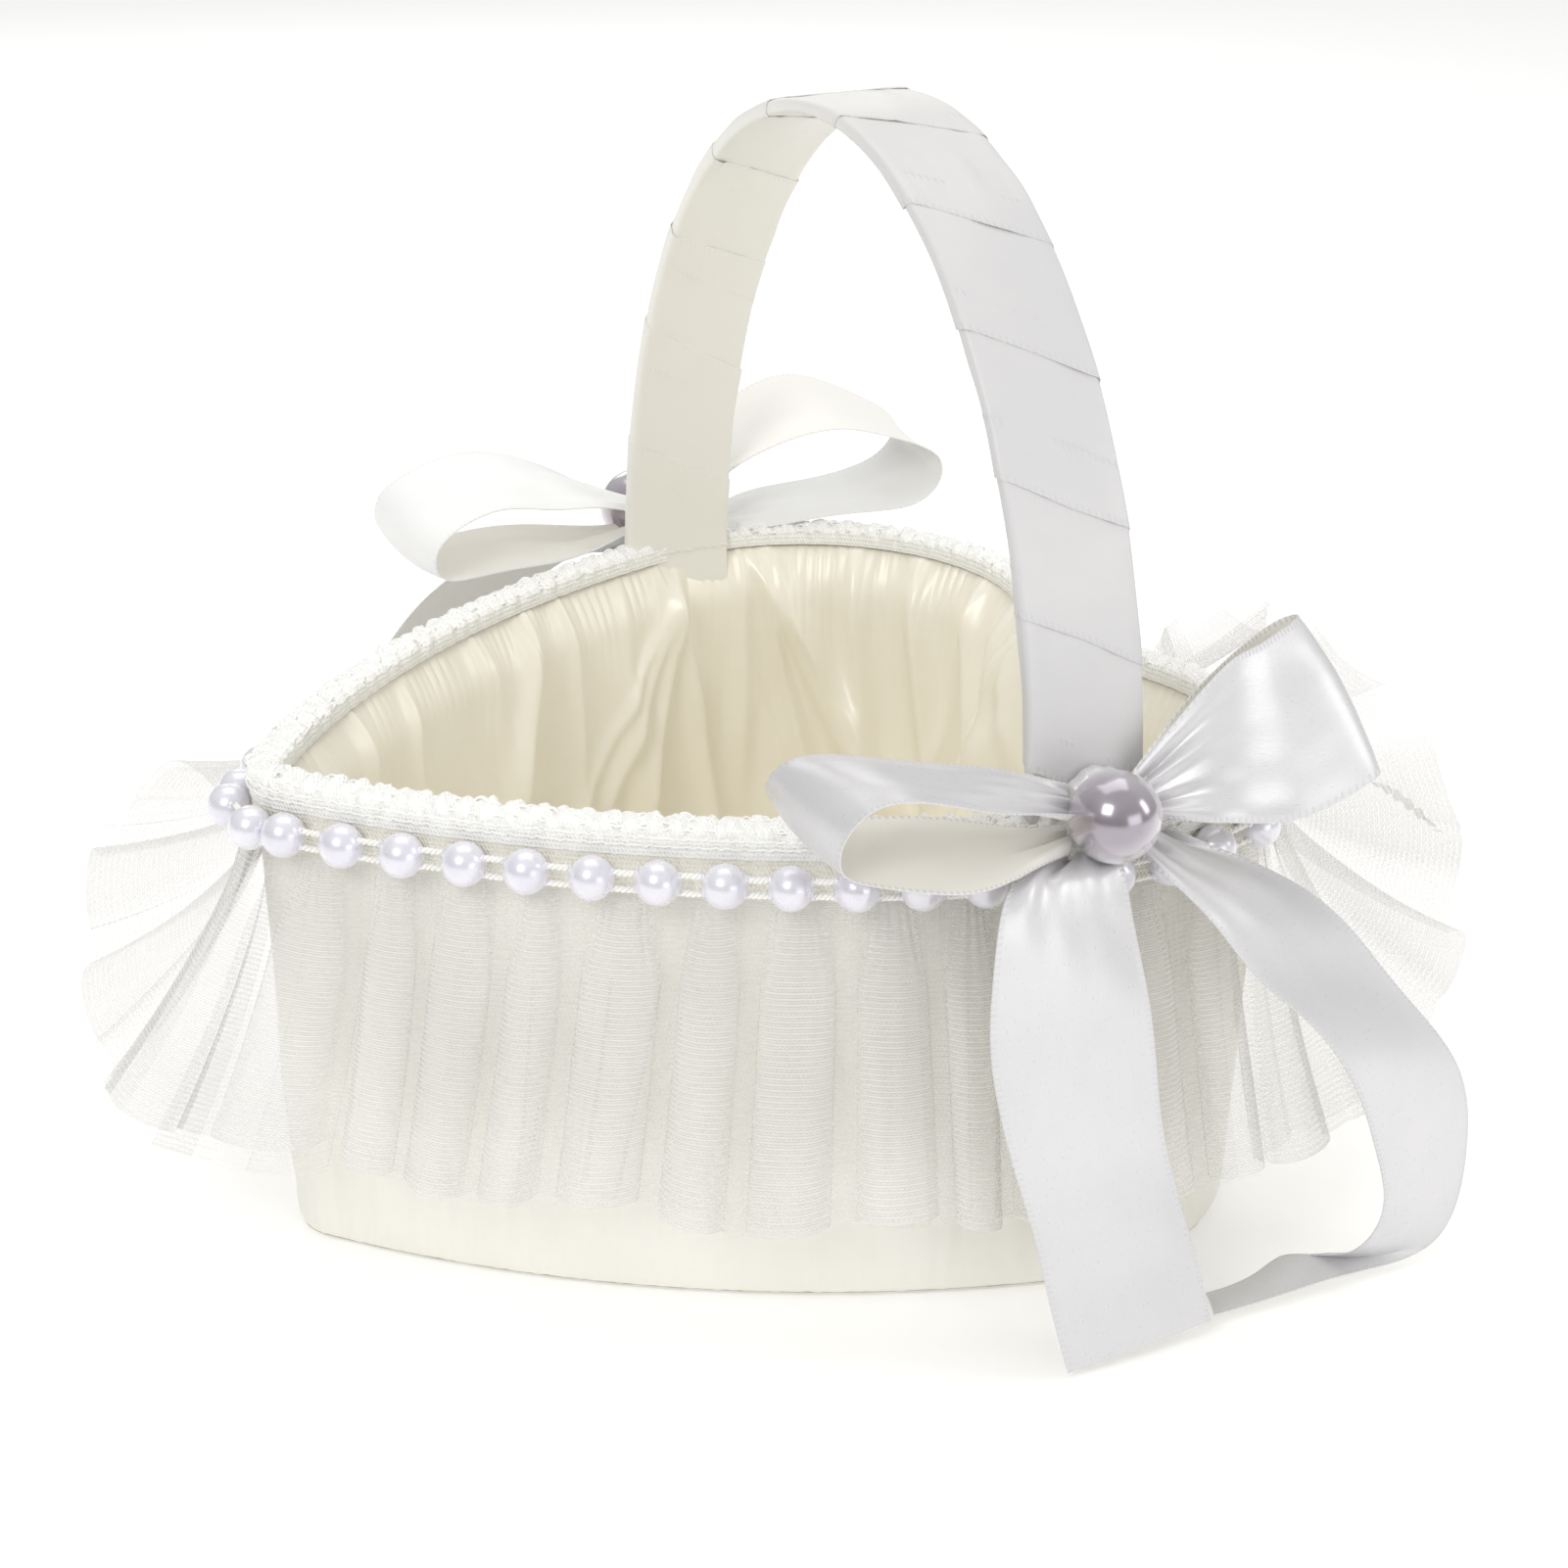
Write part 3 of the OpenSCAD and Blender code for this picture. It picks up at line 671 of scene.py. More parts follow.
def lining_ridges():
    rng = np.random.default_rng(5)
    ridges = []
    count = 26
    for k in range(count):
        at = (k + rng.uniform(-0.4, 0.4)) / count
        ridges.append((at, rng.normal(0, 0.025), rng.normal(0, 0.012), 0.004, rng.uniform(0.05, 0.125),
                       rng.uniform(3.2, 7.0) * MM, rng.uniform(1.0, 3.4) * MM))
    for k in range(14):
        ridges.append((rng.random(), rng.normal(0, 0.06), rng.normal(0, 0.02), rng.uniform(0.01, 0.04),
                       0.13, rng.uniform(6, 12) * MM, rng.uniform(2.0, 4.5) * MM))
    for degrees, reach in LONG_FOLDS:
        ridges.append((wall.u_at(degrees), reach, 0.5 * reach, 0.006, 0.12, 7 * MM, 5.5 * MM))
    for degrees in (90, 270):
        foot = wall.u_at(degrees)
        for side in (-1, 1):
            for reach, height in ((0.035, 3.4), (0.075, 2.6), (0.11, 1.8)):
                ridges.append((foot + side * 0.021, side * reach, side * 0.01, 0.010, 0.105, 4 * MM,
                               height * MM))
    return ridges


def make_lining():
    rows = 1500
    turn = np.radians(np.linspace(0, 90, 14))
    first_out, fall = -2.6 * MM, 16 * MM
    top = rim_z + 0.3 * MM
    roof = [(mix(first_out, lining_face, math.sin(a)), top - fall * a / turn[-1]) for a in turn]
    upright = [(lining_face, z) for z in np.linspace(roof[-1][1] - 1.2 * MM, floor_z + 6 * MM, 78)]
    foot_r = 6 * MM
    foot = [(lining_face - foot_r * math.sin(a), floor_z + foot_r * (1 - math.sin(a)) * 0.9 + 0.5 * MM)
            for a in turn[2:]]
    out, z = np.array(roof + upright + foot).T
    w = length_to(np.column_stack([out, z]))
    u = ring_u(rows)
    w_grid = w[None, :]
    base = wall.point(u, z[None, :], out[None, :])
    into = grid_normals(base, True)
    into *= np.sign(-np.sum(into[:, 40, :2] * (base[:, 40, :2] - [TAPER_X, 0])))
    folds = ridge_field(u, w_grid, lining_ridges())
    gathers = np.abs(ripple(u, 95, 41, w_grid / 0.12, 1.6)) ** 0.8 * np.exp(-w_grid / (14 * MM))
    small = ripple(u, 30, 42, w_grid / 0.12, 3.0) * smoothstep(0.01, 0.05, w_grid)
    start = smoothstep(0.5 * MM, 5 * MM, w_grid)
    settle = 1 - 0.7 * smoothstep(w[-1] - 14 * MM, w[-1], w_grid)
    lift = (0.9 * folds + 0.9 * MM * gathers + 0.45 * MM * small) * start * settle
    points = base + into * lift[..., None]
    places = laid_round(rows, 1.5 * wall.length, w_grid)
    lining = cloth_piece("lining_satin", points, places, wrap=True, thick=0.4 * MM)
    dress(lining, "lining", "satin_lining", "lining_wall")


# ---- Rim: lace, tape, pearls and threads ----


def make_lace_braid():
    rows = 1400
    u = ring_u(rows)
    skirt_z = pearl_z + PEARL_R * 0.75
    top_z = rim_z + 1.7 * MM
    outer, inner = 1.75 * MM, -5.6 * MM
    rise = np.linspace(0, 1, 9)[:-1]
    turn = np.radians(np.linspace(180, 0, 13))
    centre, radius = (outer + inner) / 2, (outer - inner) / 2
    out = np.concatenate([np.full(8, outer), centre - radius * np.cos(turn), np.full(3, inner - 0.2 * MM)])
    z = np.concatenate([mix(skirt_z, top_z, rise), top_z + 1.5 * MM * np.sin(turn),
                        top_z - np.array([1, 2, 3]) * MM])
    w = length_to(np.column_stack([out, z]))[None, :]
    crest = smoothstep(3 * MM, 7 * MM, w) * (1 - smoothstep(13 * MM, 16 * MM, w))
    lumps = ripple(u, 105, 51, w / 0.015, 1.5) + 0.6 * ripple(u, 240, 52, w / 0.015, 3)
    base = wall.point(u, z[None, :], out[None, :])
    normal = grid_normals(base, True)
    points = base - normal * (0.10 * MM + (0.15 + 0.75 * crest) * MM * lumps)[..., None]
    places = laid_round(rows, wall.length, w)
    braid = cloth_piece("rim_lace_braid", points, places, wrap=True, thick=0.5 * MM)
    dress(braid, "braid", "lace", "rim_lace")


def make_lace_loops():
    """Tiny loops of yarn that stand along the top of the braid, and short stray ends"""
    rng = np.random.default_rng(8)
    pile = Pile()
    top_z = rim_z + 2.6 * MM
    count, stray_ends = 900, 240
    bow = np.linspace(0, math.pi, 9)
    for k in range(count):
        row = rng.choice([-5.0, -3.4, -1.2, 0.9], p=[0.3, 0.25, 0.2, 0.25]) * MM
        at = (k + rng.uniform(-0.4, 0.4)) / count
        width, height = rng.uniform(0.8, 1.9) * MM, rng.uniform(0.7, 1.9) * MM
        lean = rng.uniform(-1.0, 1.0)
        u = at + (np.cos(bow) * width + np.sin(bow) * lean * 0.6 * MM) / wall.length
        z = top_z - 0.5 * MM + np.sin(bow) * height - np.abs(row + 2 * MM) * 0.3
        out = row + np.sin(bow) * lean * 1.0 * MM
        pile.add_tube(wall.point(u, z, out), rng.uniform(0.22, 0.36) * MM, 5)
    for k in range(stray_ends):
        at, row = rng.random(), rng.uniform(-5.0, 1.6) * MM
        t = np.linspace(0, 1, 5)
        reach, tip = rng.uniform(-1.6, 1.6) * MM, rng.uniform(0.8, 2.0) * MM
        u = at + reach * t ** 1.4 / wall.length
        pile.add_tube(wall.point(u, top_z - 0.4 * MM + tip * t, row + 0.5 * reach * t * t), 0.09 * MM, 4)
    dress(pile.build("rim_lace_loops"), "yarn", "lace")


def make_lace_cords():
    """Two fine cords that run along the braid's upper edge and dip from stitch to stitch"""
    pile = Pile()
    steps = 2400
    u = np.arange(steps) / steps
    for row, z, seed in ((1.75, 0.3, 61), (1.1, 2.3, 62), (-5.4, 1.2, 63), (1.9, -1.5, 64)):
        sway = 0.35 * MM * ripple(u, 190, seed)
        dip = 0.3 * MM * np.abs(np.sin(TAU * u * 170))
        path = wall.point(u, rim_z + z * MM + sway - dip, row * MM + 0.35 * MM + 0.5 * sway)
        ring = np.vstack([path, path[:1]])
        grid = tube_grid(ring, 0.27 * MM, 6)[:-1]
        quads, _ = grid_corners(steps, 6, True)
        close = [[r * 6 + 5, ((r + 1) % steps) * 6 + 5, ((r + 1) % steps) * 6, r * 6] for r in range(steps)]
        pile.add(grid, np.vstack([quads, close]))
    dress(pile.build("rim_lace_cords"), "yarn", "lace")


def make_tape():
    rows = 1400
    low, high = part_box("tulle_tape")
    u = ring_u(rows)
    z = np.linspace(low.z, high.z, 16)[None, :]
    pleats = 0.14 * MM * ripple(u, 230, 71, z / 0.01, 0.8)
    points = wall.point(u, z, 1.25 * MM + pleats)
    places = laid_round(rows, wall.length, z - low.z)
    tape = cloth_piece("tulle_tape_weave", points, places, wrap=True, thick=0.4 * MM)
    dress(tape, "tape", "tape", "tulle_tape")


PEARL_COUNT = 52


def pearl_places():
    """Centres of the small pearls: the middle of the CAD vertices near each expected place"""
    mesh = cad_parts["pearl_string"].data
    co = np.array([v.co for v in mesh.vertices])
    line = wall.point(np.append(wall.grid, 1.0), pearl_z, 6.7 * MM)
    to = length_to(line)
    even = (np.arange(PEARL_COUNT) + 0.5) / PEARL_COUNT * to[-1]
    guess = np.column_stack([np.interp(even, to, line[:, k]) for k in range(3)])
    centres = []
    for g in guess:
        for reach in (1.7, 1.4, 1.3):
            near = co[np.linalg.norm(co - g, axis=1) < reach * PEARL_R]
            g = (near.min(0) + near.max(0)) / 2
        centres.append(g)
    return np.array(centres)


THREAD_GAP = (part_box("thread_upper")[0].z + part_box("thread_upper")[1].z) / 2 - pearl_z


def make_small_pearls(centres):
    """Pearls moulded on the two threads: each has four small collars where the threads go in"""
    rng = np.random.default_rng(9)
    pile = Pile()
    turn = np.linspace(0.02, math.pi - 0.02, 26)
    for k, centre in enumerate(centres):
        along = unit(centres[(k + 1) % len(centres)] - centres[k - 1])
        size = PEARL_R * rng.uniform(0.985, 1.0)
        profile = [(size * math.sin(a), -size * math.cos(a)) for a in turn]
        spin = rng.normal(0, 0.2, 3) + [0, 0, 1]
        pile.add(*lathe(profile, 40, centre, spin, along))
        for end in (-1, 1):
            for level in (-1, 1):
                inset = math.sqrt(PEARL_R ** 2 - THREAD_GAP ** 2)
                base = centre + along * end * (inset - 0.35 * MM) + np.array([0, 0, level * THREAD_GAP])
                collar = [(0.02 * MM, 0), (0.85 * MM, 0), (0.80 * MM, 0.45 * MM), (0.6 * MM, 0.75 * MM),
                          (0.02 * MM, 0.8 * MM)]
                pile.add(*lathe(collar, 12, base, along * end, (0, 0, 1)))
    dress(pile.build("small_pearls"), "small_pearl", "small_pearl", "pearl_string")


def make_threads(centres, level, name, node):
    """Two-ply thread between neighbouring pearls"""
    rng = np.random.default_rng(10 + level)
    pile = Pile()
    steps, ply_r = 26, 0.42 * MM
    rise = np.array([0, 0, level * THREAD_GAP])
    for k, centre in enumerate(centres):
        p, q = centre + rise, centres[(k + 1) % len(centres)] + rise
        along = unit(q - p)
        inset = math.sqrt(PEARL_R ** 2 - THREAD_GAP ** 2) - 0.3 * MM
        t = np.linspace(0, 1, steps)
        line = p + along * inset + (q - p - 2 * along * inset) * t[:, None]
        sag = 0.35 * MM * rng.uniform(-0.4, 1.0) * np.sin(math.pi * t)
        line[:, 2] -= sag
        side, up = np.cross(along, [0, 0, 1.0]), np.array([0, 0, 1.0])
        start = rng.uniform(0, TAU)
        for ply in (0, math.pi):
            angle = start + ply + t * TAU * 2.3
            strand = line + 0.36 * MM * (np.cos(angle)[:, None] * side + np.sin(angle)[:, None] * up)
            pile.add_tube(strand, ply_r, 7)
    dress(pile.build(name), "thread", "thread", node)


# ---- Tulle ----


class NetForm:
    """Mean surface of a layer of net, read from the CAD skirt"""

    def __init__(self, node):
        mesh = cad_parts[node].data
        co = np.unique(np.round([tuple(v.co) for v in mesh.vertices], 6), axis=0)
        angle = np.arctan2(co[:, 1], co[:, 0] - TAPER_X) % TAU
        order = np.argsort(angle)
        columns, angles = [], []
        for group in np.split(order, np.where(np.diff(angle[order]) > 0.002)[0] + 1):
            reach = np.hypot(co[group, 0] - TAPER_X, co[group, 1])
            column = np.column_stack([reach, co[group, 2]])
            start = column[np.argmax(column[:, 1] - column[:, 0])]
            column = column[np.argsort(np.linalg.norm(column - start, axis=1))]
            if len(column) >= 2:
                pairs = column[:len(column) // 2 * 2].reshape(-1, 2, 2).mean(1)
                columns.append(pairs)
                angles.append(angle[group].mean())
        count = int(np.median([len(c) for c in columns]))
        keep = [i for i, c in enumerate(columns) if len(c) == count]
        self.angles = np.array([angles[i] for i in keep])
        self.columns = np.array([columns[i] for i in keep])
        self.length = length_to(self.columns[0])[-1]

    def point(self, angle, share):
        """Places at each angle and each share of the net's fall, which may run a little past 0 and 1"""
        levels = self.columns.shape[1]
        table = np.stack([[np.interp(angle % TAU, self.angles, self.columns[:, k, j], period=TAU)
                           for j in range(2)] for k in range(levels)], 0)
        place = np.clip(np.asarray(share) * (levels - 1), -0.6, levels - 0.6)
        i = np.clip(place.astype(int), 0, levels - 2)
        t = place - i
        before, after = table[np.maximum(i - 1, 0)], table[np.minimum(i + 2, levels - 1)]
        a, b = table[i], table[i + 1]
        reach_z = catmull(before, a, b, after, t[:, None, None])
        reach, z = reach_z[:, 0].T, reach_z[:, 1].T
        return np.stack([TAPER_X + reach * np.cos(angle)[:, None], reach * np.sin(angle)[:, None], z], -1)


FOLD_CLOSING = 1.25      # 0 gives even waves, and above 1 each fold's neck is narrower than the fold
FOLD_SHARE = 0.76        # the part of the net that stands in folds; the rest lies flat between them


def fold_phases(u, form_slant, seed, narrow, wide):
    """Fold by fold round the tape: phase from -pi to pi, size, sway, extra hang, and length at the tape"""
    rng = np.random.default_rng(seed)
    starts = [0.0]
    while starts[-1] < wall.length:
        flare = np.interp(starts[-1] / wall.length, u, form_slant)
        starts.append(starts[-1] + rng.uniform(narrow, wide) * (1 + 0.5 * flare))
    starts = np.array(starts) * wall.length / starts[-1]
    s = u * wall.length
    k = np.clip(np.searchsorted(starts, s, side="right") - 1, 0, len(starts) - 2)
    width = starts[k + 1] - starts[k]
    phase = (s - starts[k]) / width * TAU - math.pi
    size = rng.uniform(0.65, 1.25, len(starts))[k]
    share = (phase + math.pi) / TAU
    following = (k + 1) % (len(starts) - 1)
    sway, hang = (mix(v[k], v[following], share) for v in rng.normal(0, 1, (2, len(starts))))
    return phase, size, sway, hang, width


def make_net(name, node, seed, depth, narrow, wide, hem_share):
    """A gathered layer of net in rounded folds, which lean over each other where the net hangs close"""
    form = NetForm(node)
    rows, cols = 2200, 46
    u = np.arange(rows) / rows
    share = np.linspace(-0.035, hem_share, cols)
    tape = wall.point(u, pearl_z, 2 * MM)
    angle = np.unwrap(np.arctan2(tape[:, 1], tape[:, 0] - TAPER_X))
    base = form.point(angle, share)
    fall = base[:, -1] - base[:, 8]
    slant = np.hypot(fall[:, 0], fall[:, 1]) / np.linalg.norm(fall, axis=1)
    flare = smoothstep(0.3, 0.9, slant)
    phase, size, sway, hang, width = fold_phases(u, flare, seed, narrow, wide)
    down = unit(np.gradient(base, axis=1))
    across = unit(np.roll(base, -1, 0) - np.roll(base, 1, 0))
    outward = unit(np.cross(down, across))
    outward *= np.sign(np.sum(outward[..., :2] * (base[..., :2] - [TAPER_X, 0]), -1))[..., None]
    v = np.clip(share, 0, None)[None, :]
    p = np.clip(phase / FOLD_SHARE, -math.pi, math.pi)[:, None]
    grow = 0.16 + 0.84 * np.clip(v, 0, 1.1) ** 0.75
    deep = depth * (1 + 0.25 * flare)[:, None] * grow
    bulge = deep * (size[:, None] * (1 + np.cos(p)) - 0.75 - 1.1 * flare[:, None])
    closing = FOLD_CLOSING * FOLD_SHARE * smoothstep(0.0, 0.3, v) * (1 - 0.5 * flare)[:, None]
    hem_stretch = np.linalg.norm(np.roll(base, -1, 0) - np.roll(base, 1, 0), axis=-1)
    hem_stretch = hem_stretch / hem_stretch[:, :1]
    lean = (width[:, None] / TAU) * closing * np.sin(p) * np.clip(hem_stretch, 1, 3)
    lean = lean + sway[:, None] * 3.2 * MM * v
    near_tape = np.exp(-v / 0.16) * smoothstep(-0.04, 0.04, share)[None, :]
    fine = 0.55 * MM * ripple(u, 330, seed + 1)[:, None] * near_tape
    crumple = 0.5 * MM * (ripple(u, 44, seed + 2)[:, None] + ripple(u[:, None], 90, seed + 3, v, 1.5)) * v
    points = base + outward * (bulge + fine + crumple)[..., None] + across * lean[..., None]
    sagging = ((1.2 * ripple(u, 26, seed + 4) + 2.4 * hang) * MM)[:, None] * v ** 2
    points = points + down * sagging[..., None]
    middle = points[:, cols // 2]
    along = length_to(np.vstack([middle, middle[:1]]))
    fallen = (share - share[0]) * form.length
    plies = np.append(smoothstep(-0.85, 0.1, np.cos(p[:, 0])), 0.0)
    places = np.stack(np.broadcast_arrays(along[:, None], fallen[None, :], plies[:, None]), -1)
    return cloth_piece(name, points, places, wrap=True), along[-1], fallen[-1]


# name, CAD node, seed, depth of the folds, narrowest and widest fold, where the hem is as a share of the CAD
# skirt's fall, and how much of the light a hole and a thread stop
TULLE_LAYERS = (
    ("tulle_under_net", "tulle_under", 101, 1.6 * MM, 13 * MM, 23 * MM, 0.965, 0.06, 0.20),
    ("tulle_over_net", "tulle_over", 207, 4.4 * MM, 15 * MM, 25 * MM, 0.955, 0.25, 0.55),
)


def make_tulle():
    for name, node, seed, depth, narrow, wide, hem_share, thin, thick in TULLE_LAYERS:
        piece, flat_w, flat_l = make_net(name, node, seed, depth, narrow, wide, hem_share)
        LOOKS[name] = net(name + "_look", rgb(232, 230, 227), rgb(223, 221, 219), flat_l, thin, thick)
        dress(piece, name, "tulle", node)


# ---- Handle ----


class HandleLine:
    """The band's middle line in the Y-Z plane, read from the CAD core. s is 0 at the front foot's rim."""

    def __init__(self):
        low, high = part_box("handle_core")
        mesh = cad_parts["handle_core"].data
        at_foot = [abs(v.co.y) for v in mesh.vertices if v.co.z < low.z + 1e-4]
        self.half_t = (max(at_foot) - min(at_foot)) / 2
        self.half_w = high.x
        foot_y = (max(at_foot) + min(at_foot)) / 2
        span, rise = high.y - self.half_t, high.z - self.half_t - rim_z
        turn = np.linspace(0, math.pi, 721)
        arch = np.column_stack([-span * np.cos(turn), rim_z + rise * np.sin(turn)])
        legs = np.linspace(0, 1, 60)[:-1, None]
        front = mix(np.array([-foot_y, low.z]), arch[0], legs)
        back = mix(arch[-1], np.array([foot_y, low.z]), legs + 1 / 59)
        self.line = np.vstack([front, arch, back])
        self.s = length_to(self.line) - length_to(self.line)[len(front)]
        t = unit(np.gradient(self.line, axis=0))
        self.normal = np.column_stack([-t[:, 1], t[:, 0]])

    def point(self, s, x, out):
        """Point at s along the band, x across it and out from its middle line"""
        line = np.stack([np.interp(s, self.s, self.line[:, k]) for k in range(2)], -1)
        normal = np.stack([np.interp(s, self.s, self.normal[:, k]) for k in range(2)], -1)
        place = line + out[..., None] * unit(normal)
        return np.concatenate([x[..., None], place], -1)


WRAP_PITCH = 32.5 * MM      # how far the winding climbs in one turn
WRAP_FIRST = 38.0 * MM      # where the first seam above the front foot crosses the band's middle
STITCH_PITCH = 2.55 * MM
STITCHES = 11


def wound_section(handle, corner_r=1.0 * MM):
    """The closed path round the band that the ribbon follows: its length, and (x, out) at each place"""
    half_w, half_t = handle.half_w + 0.35 * MM, handle.half_t + 0.35 * MM
    quarter = np.radians(np.linspace(0, 90, 6))
    flat = np.linspace(0, half_w - corner_r, 9)[:-1]
    top = [(x, half_t) for x in flat]
    inner_w, inner_t = half_w - corner_r, half_t - corner_r
    corner = [(inner_w + corner_r * math.sin(a), inner_t + corner_r * math.cos(a)) for a in quarter]
    first = np.array(top + corner)
    second = first[::-1] * [1, -1]
    right = np.vstack([first, second])
    left = right[::-1][1:-1] * [-1, 1]
    ring = np.vstack([right, left, right[:1]]) * [-1, 1]
    return length_to(ring), ring


def make_handle_wrap():
    """One long ribbon wound round the band. Each turn lies over the edge of the turn before."""
    handle = HandleLine()
    round_to, ring = wound_section(handle)
    girth = round_to[-1]
    slope = WRAP_PITCH / girth
    reach = RIBBON_W * math.hypot(1, slope)
    first_turn = math.floor((handle.s[0] - WRAP_FIRST) / WRAP_PITCH) - 1
    turns = math.ceil((handle.s[-1] - handle.s[0]) / WRAP_PITCH) + 3
    per_turn = len(ring) - 1
    across = np.linspace(0.5, -0.5, 30)
    k = np.arange(turns * per_turn + 1)
    lap = k // per_turn
    step = k % per_turn
    along_girth = lap * girth + round_to[step]
    x, out = ring[step, 0], ring[step, 1]
    seam = WRAP_FIRST + first_turn * WRAP_PITCH + along_girth * slope
    shifts = np.random.default_rng(12).normal(0, 1, turns + 2)
    wander = 1.6 * MM * np.interp(along_girth / girth, np.arange(turns + 2), shifts)
    s = seam[:, None] + wander[:, None] + (across[None, :] + 0.5) * reach
    over = 1 - smoothstep(-0.5, -0.12, across)[None, :]
    low_end = 0.28 * MM * over
    ridge = 0.04 * MM * np.exp(-((0.5 - np.abs(across)) * RIBBON_W / (0.8 * MM)) ** 2)[None, :]
    flatness = np.abs(out) / np.abs(out).max()
    tension = ripple(along_girth[:, None] / along_girth[-1], 150, 81, across[None, :], 1.6)
    creases = np.maximum(tension, 0) ** 2 * 0.32 * MM * (0.4 + 0.6 * np.abs(x[:, None]) / handle.half_w)
    soft = 0.12 * MM * ripple(along_girth[:, None] / along_girth[-1], 60, 82, across[None, :], 0.7)
    lift = low_end + ridge + creases + soft * flatness[:, None]
    normal_x = np.where(np.abs(x) > handle.half_w - 0.7 * MM, np.sign(x), 0.0)
    s_inside = np.clip(s, handle.s[0] + 0.5 * MM, handle.s[-1] - 0.5 * MM)
    side = np.sign(out) * (1 - np.abs(normal_x) * (1 - flatness) ** 0.5)
    lifted_x, lifted_out = x[:, None] + lift * normal_x[:, None], out[:, None] + lift * side[:, None]
    points = handle.point(s_inside, lifted_x, lifted_out)
    keep = (s.max(1) > handle.s[0] + 1 * MM) & (s.min(1) < handle.s[-1] - 1 * MM)
    points, along_girth = points[keep], along_girth[keep]
    places = laid(along_girth[:, None], across[None, :] * RIBBON_W)
    wrap = cloth_piece("handle_ribbon_wound", points, places, thick=0.25 * MM)
    dress(wrap, "handle", "handle_ribbon", "handle_wrap")
    return handle


def make_foot_stitches(handle):
    """A row of small stitches where each foot goes in behind the lining"""
    rng = np.random.default_rng(14)
    pile = Pile()
    t = np.linspace(0, 1, 7)
    for s0 in (1.2 * MM, handle.s[-1] - (rim_z - handle.line[-1, 1]) - 1.2 * MM):
        for k in range(STITCHES):
            x0 = (k - 5.25) * STITCH_PITCH
            x = x0 + 1.7 * MM * t
            inner = -(handle.half_t + 0.75 * MM + 0.18 * MM * np.sin(math.pi * t))
            s = s0 + rng.normal(0, 0.15) * MM + 0.25 * MM * t
            pile.add_tube(handle.point(s, x, inner), 0.2 * MM, 6)
    dress(pile.build("foot_stitches"), "thread", "thread")


# ---- Bows ----

# Each ribbon runs through stations in millimetres from the knot's middle: its two edges
BOWS = {
    "front_loop_left": (
        [(-9, -2, 5), (-38, 4, 14), (-62, 13, 16), (-69, 18, 9), (-62, 16, 2), (-38, 5, 0), (-9, -1, -4)],
        [(-11, -10, 0), (-50, -24, 16), (-66, -22, 17), (-72, -18, 8), (-68, -18, 0), (-46, -26, -2),
         (-11, -9, -6)]),
    "front_loop_right": (
        [(9, -2, 6), (29, -2, 25), (42, 0, 29), (53, 5, 31), (50, 10, 28), (28, 4, 20), (9, -1, 4)],
        [(9, -8, -3), (22, -18, -3), (42, -17, -6), (63, -16, 0), (60, -4, -2), (30, -2, -4), (9, -3, -4)]),
    "front_tail_left": (
        [(0, -6, -9), (-1, -15, -12), (0, -22, -34), (4, -26, -64), (10, -29, -92), (17, -31, -117)],
        [(-14, -6, -9), (-33, -18, -10), (-38, -22, -34), (-34, -25, -64), (-27, -28, -92),
         (-20, -32, -120)]),
    "front_tail_right": (
        [(14, -7, -7), (34, -12, -17), (55, -14, -33), (74, -16, -53), (90, -18, -77), (96, -19, -100),
         (88, -25, -113), (72, -28, -118), (46, -30, -117), (20, -28, -117)],
        [(5, -9, -9), (11, -26, -19), (22, -32, -32), (38, -34, -50), (53, -36, -74), (59, -36, -94),
         (57, -29, -109), (50, -16, -116), (39, -15, -119), (24, -19, -119)]),
    "back_loop_left": (
        [(-9, 7, 5), (-30, 22, 13), (-52, 23, 18), (-72, 18, 12), (-70, 16, 1), (-40, 18, -2), (-9, 7, -3)],
        [(-9, 1, 5), (-30, -4, 10), (-52, -8, 14), (-70, -13, 8), (-68, -13, -1), (-40, -5, -4),
         (-9, 1, -3)]),
    "back_loop_right": (
        [(9, 7, 6), (24, 22, 19), (48, 22, 27), (76, 16, 16), (70, 14, 4), (36, 18, -2), (9, 7, -3)],
        [(9, 1, 6), (24, -4, 17), (48, -8, 23), (72, -13, 13), (66, -13, 1), (36, -5, -3), (9, 1, -3)]),
    "back_tail_left": (
        [(-4, 6, -9), (-24, 17, -12), (-42, 22, -34), (-50, 25, -64), (-54, 27, -92), (-57, 29, -116)],
        [(-12, 6, -7), (-46, 9, -6), (-76, 11, -26), (-86, 15, -60), (-90, 18, -90), (-92, 20, -112)]),
    "back_tail_right": (
        [(4, 6, -9), (4, 17, -12), (8, 22, -34), (12, 25, -64), (14, 28, -92), (14, 30, -119)],
        [(12, 6, -8), (36, 15, -10), (46, 21, -34), (50, 25, -64), (52, 28, -92), (51, 31, -116)]),
}
# The side of the ribbon that is glossy: 1 where it is the side that the two edges turn to the left, else -1
GLOSSY = {"front_loop_left": 1, "front_loop_right": -1, "front_tail_left": -1, "front_tail_right": -1,
          "back_loop_left": 1, "back_loop_right": 1, "back_tail_left": 1, "back_tail_right": 1}


WIDER_BY = 0.08     # how far the back loops' edges stand out past their stations, as a share of the width


def middle_of(node):
    """Middle and half size of a CAD node's box"""
    low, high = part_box(node)
    return np.array((low + high) / 2), np.array((high - low) / 2)


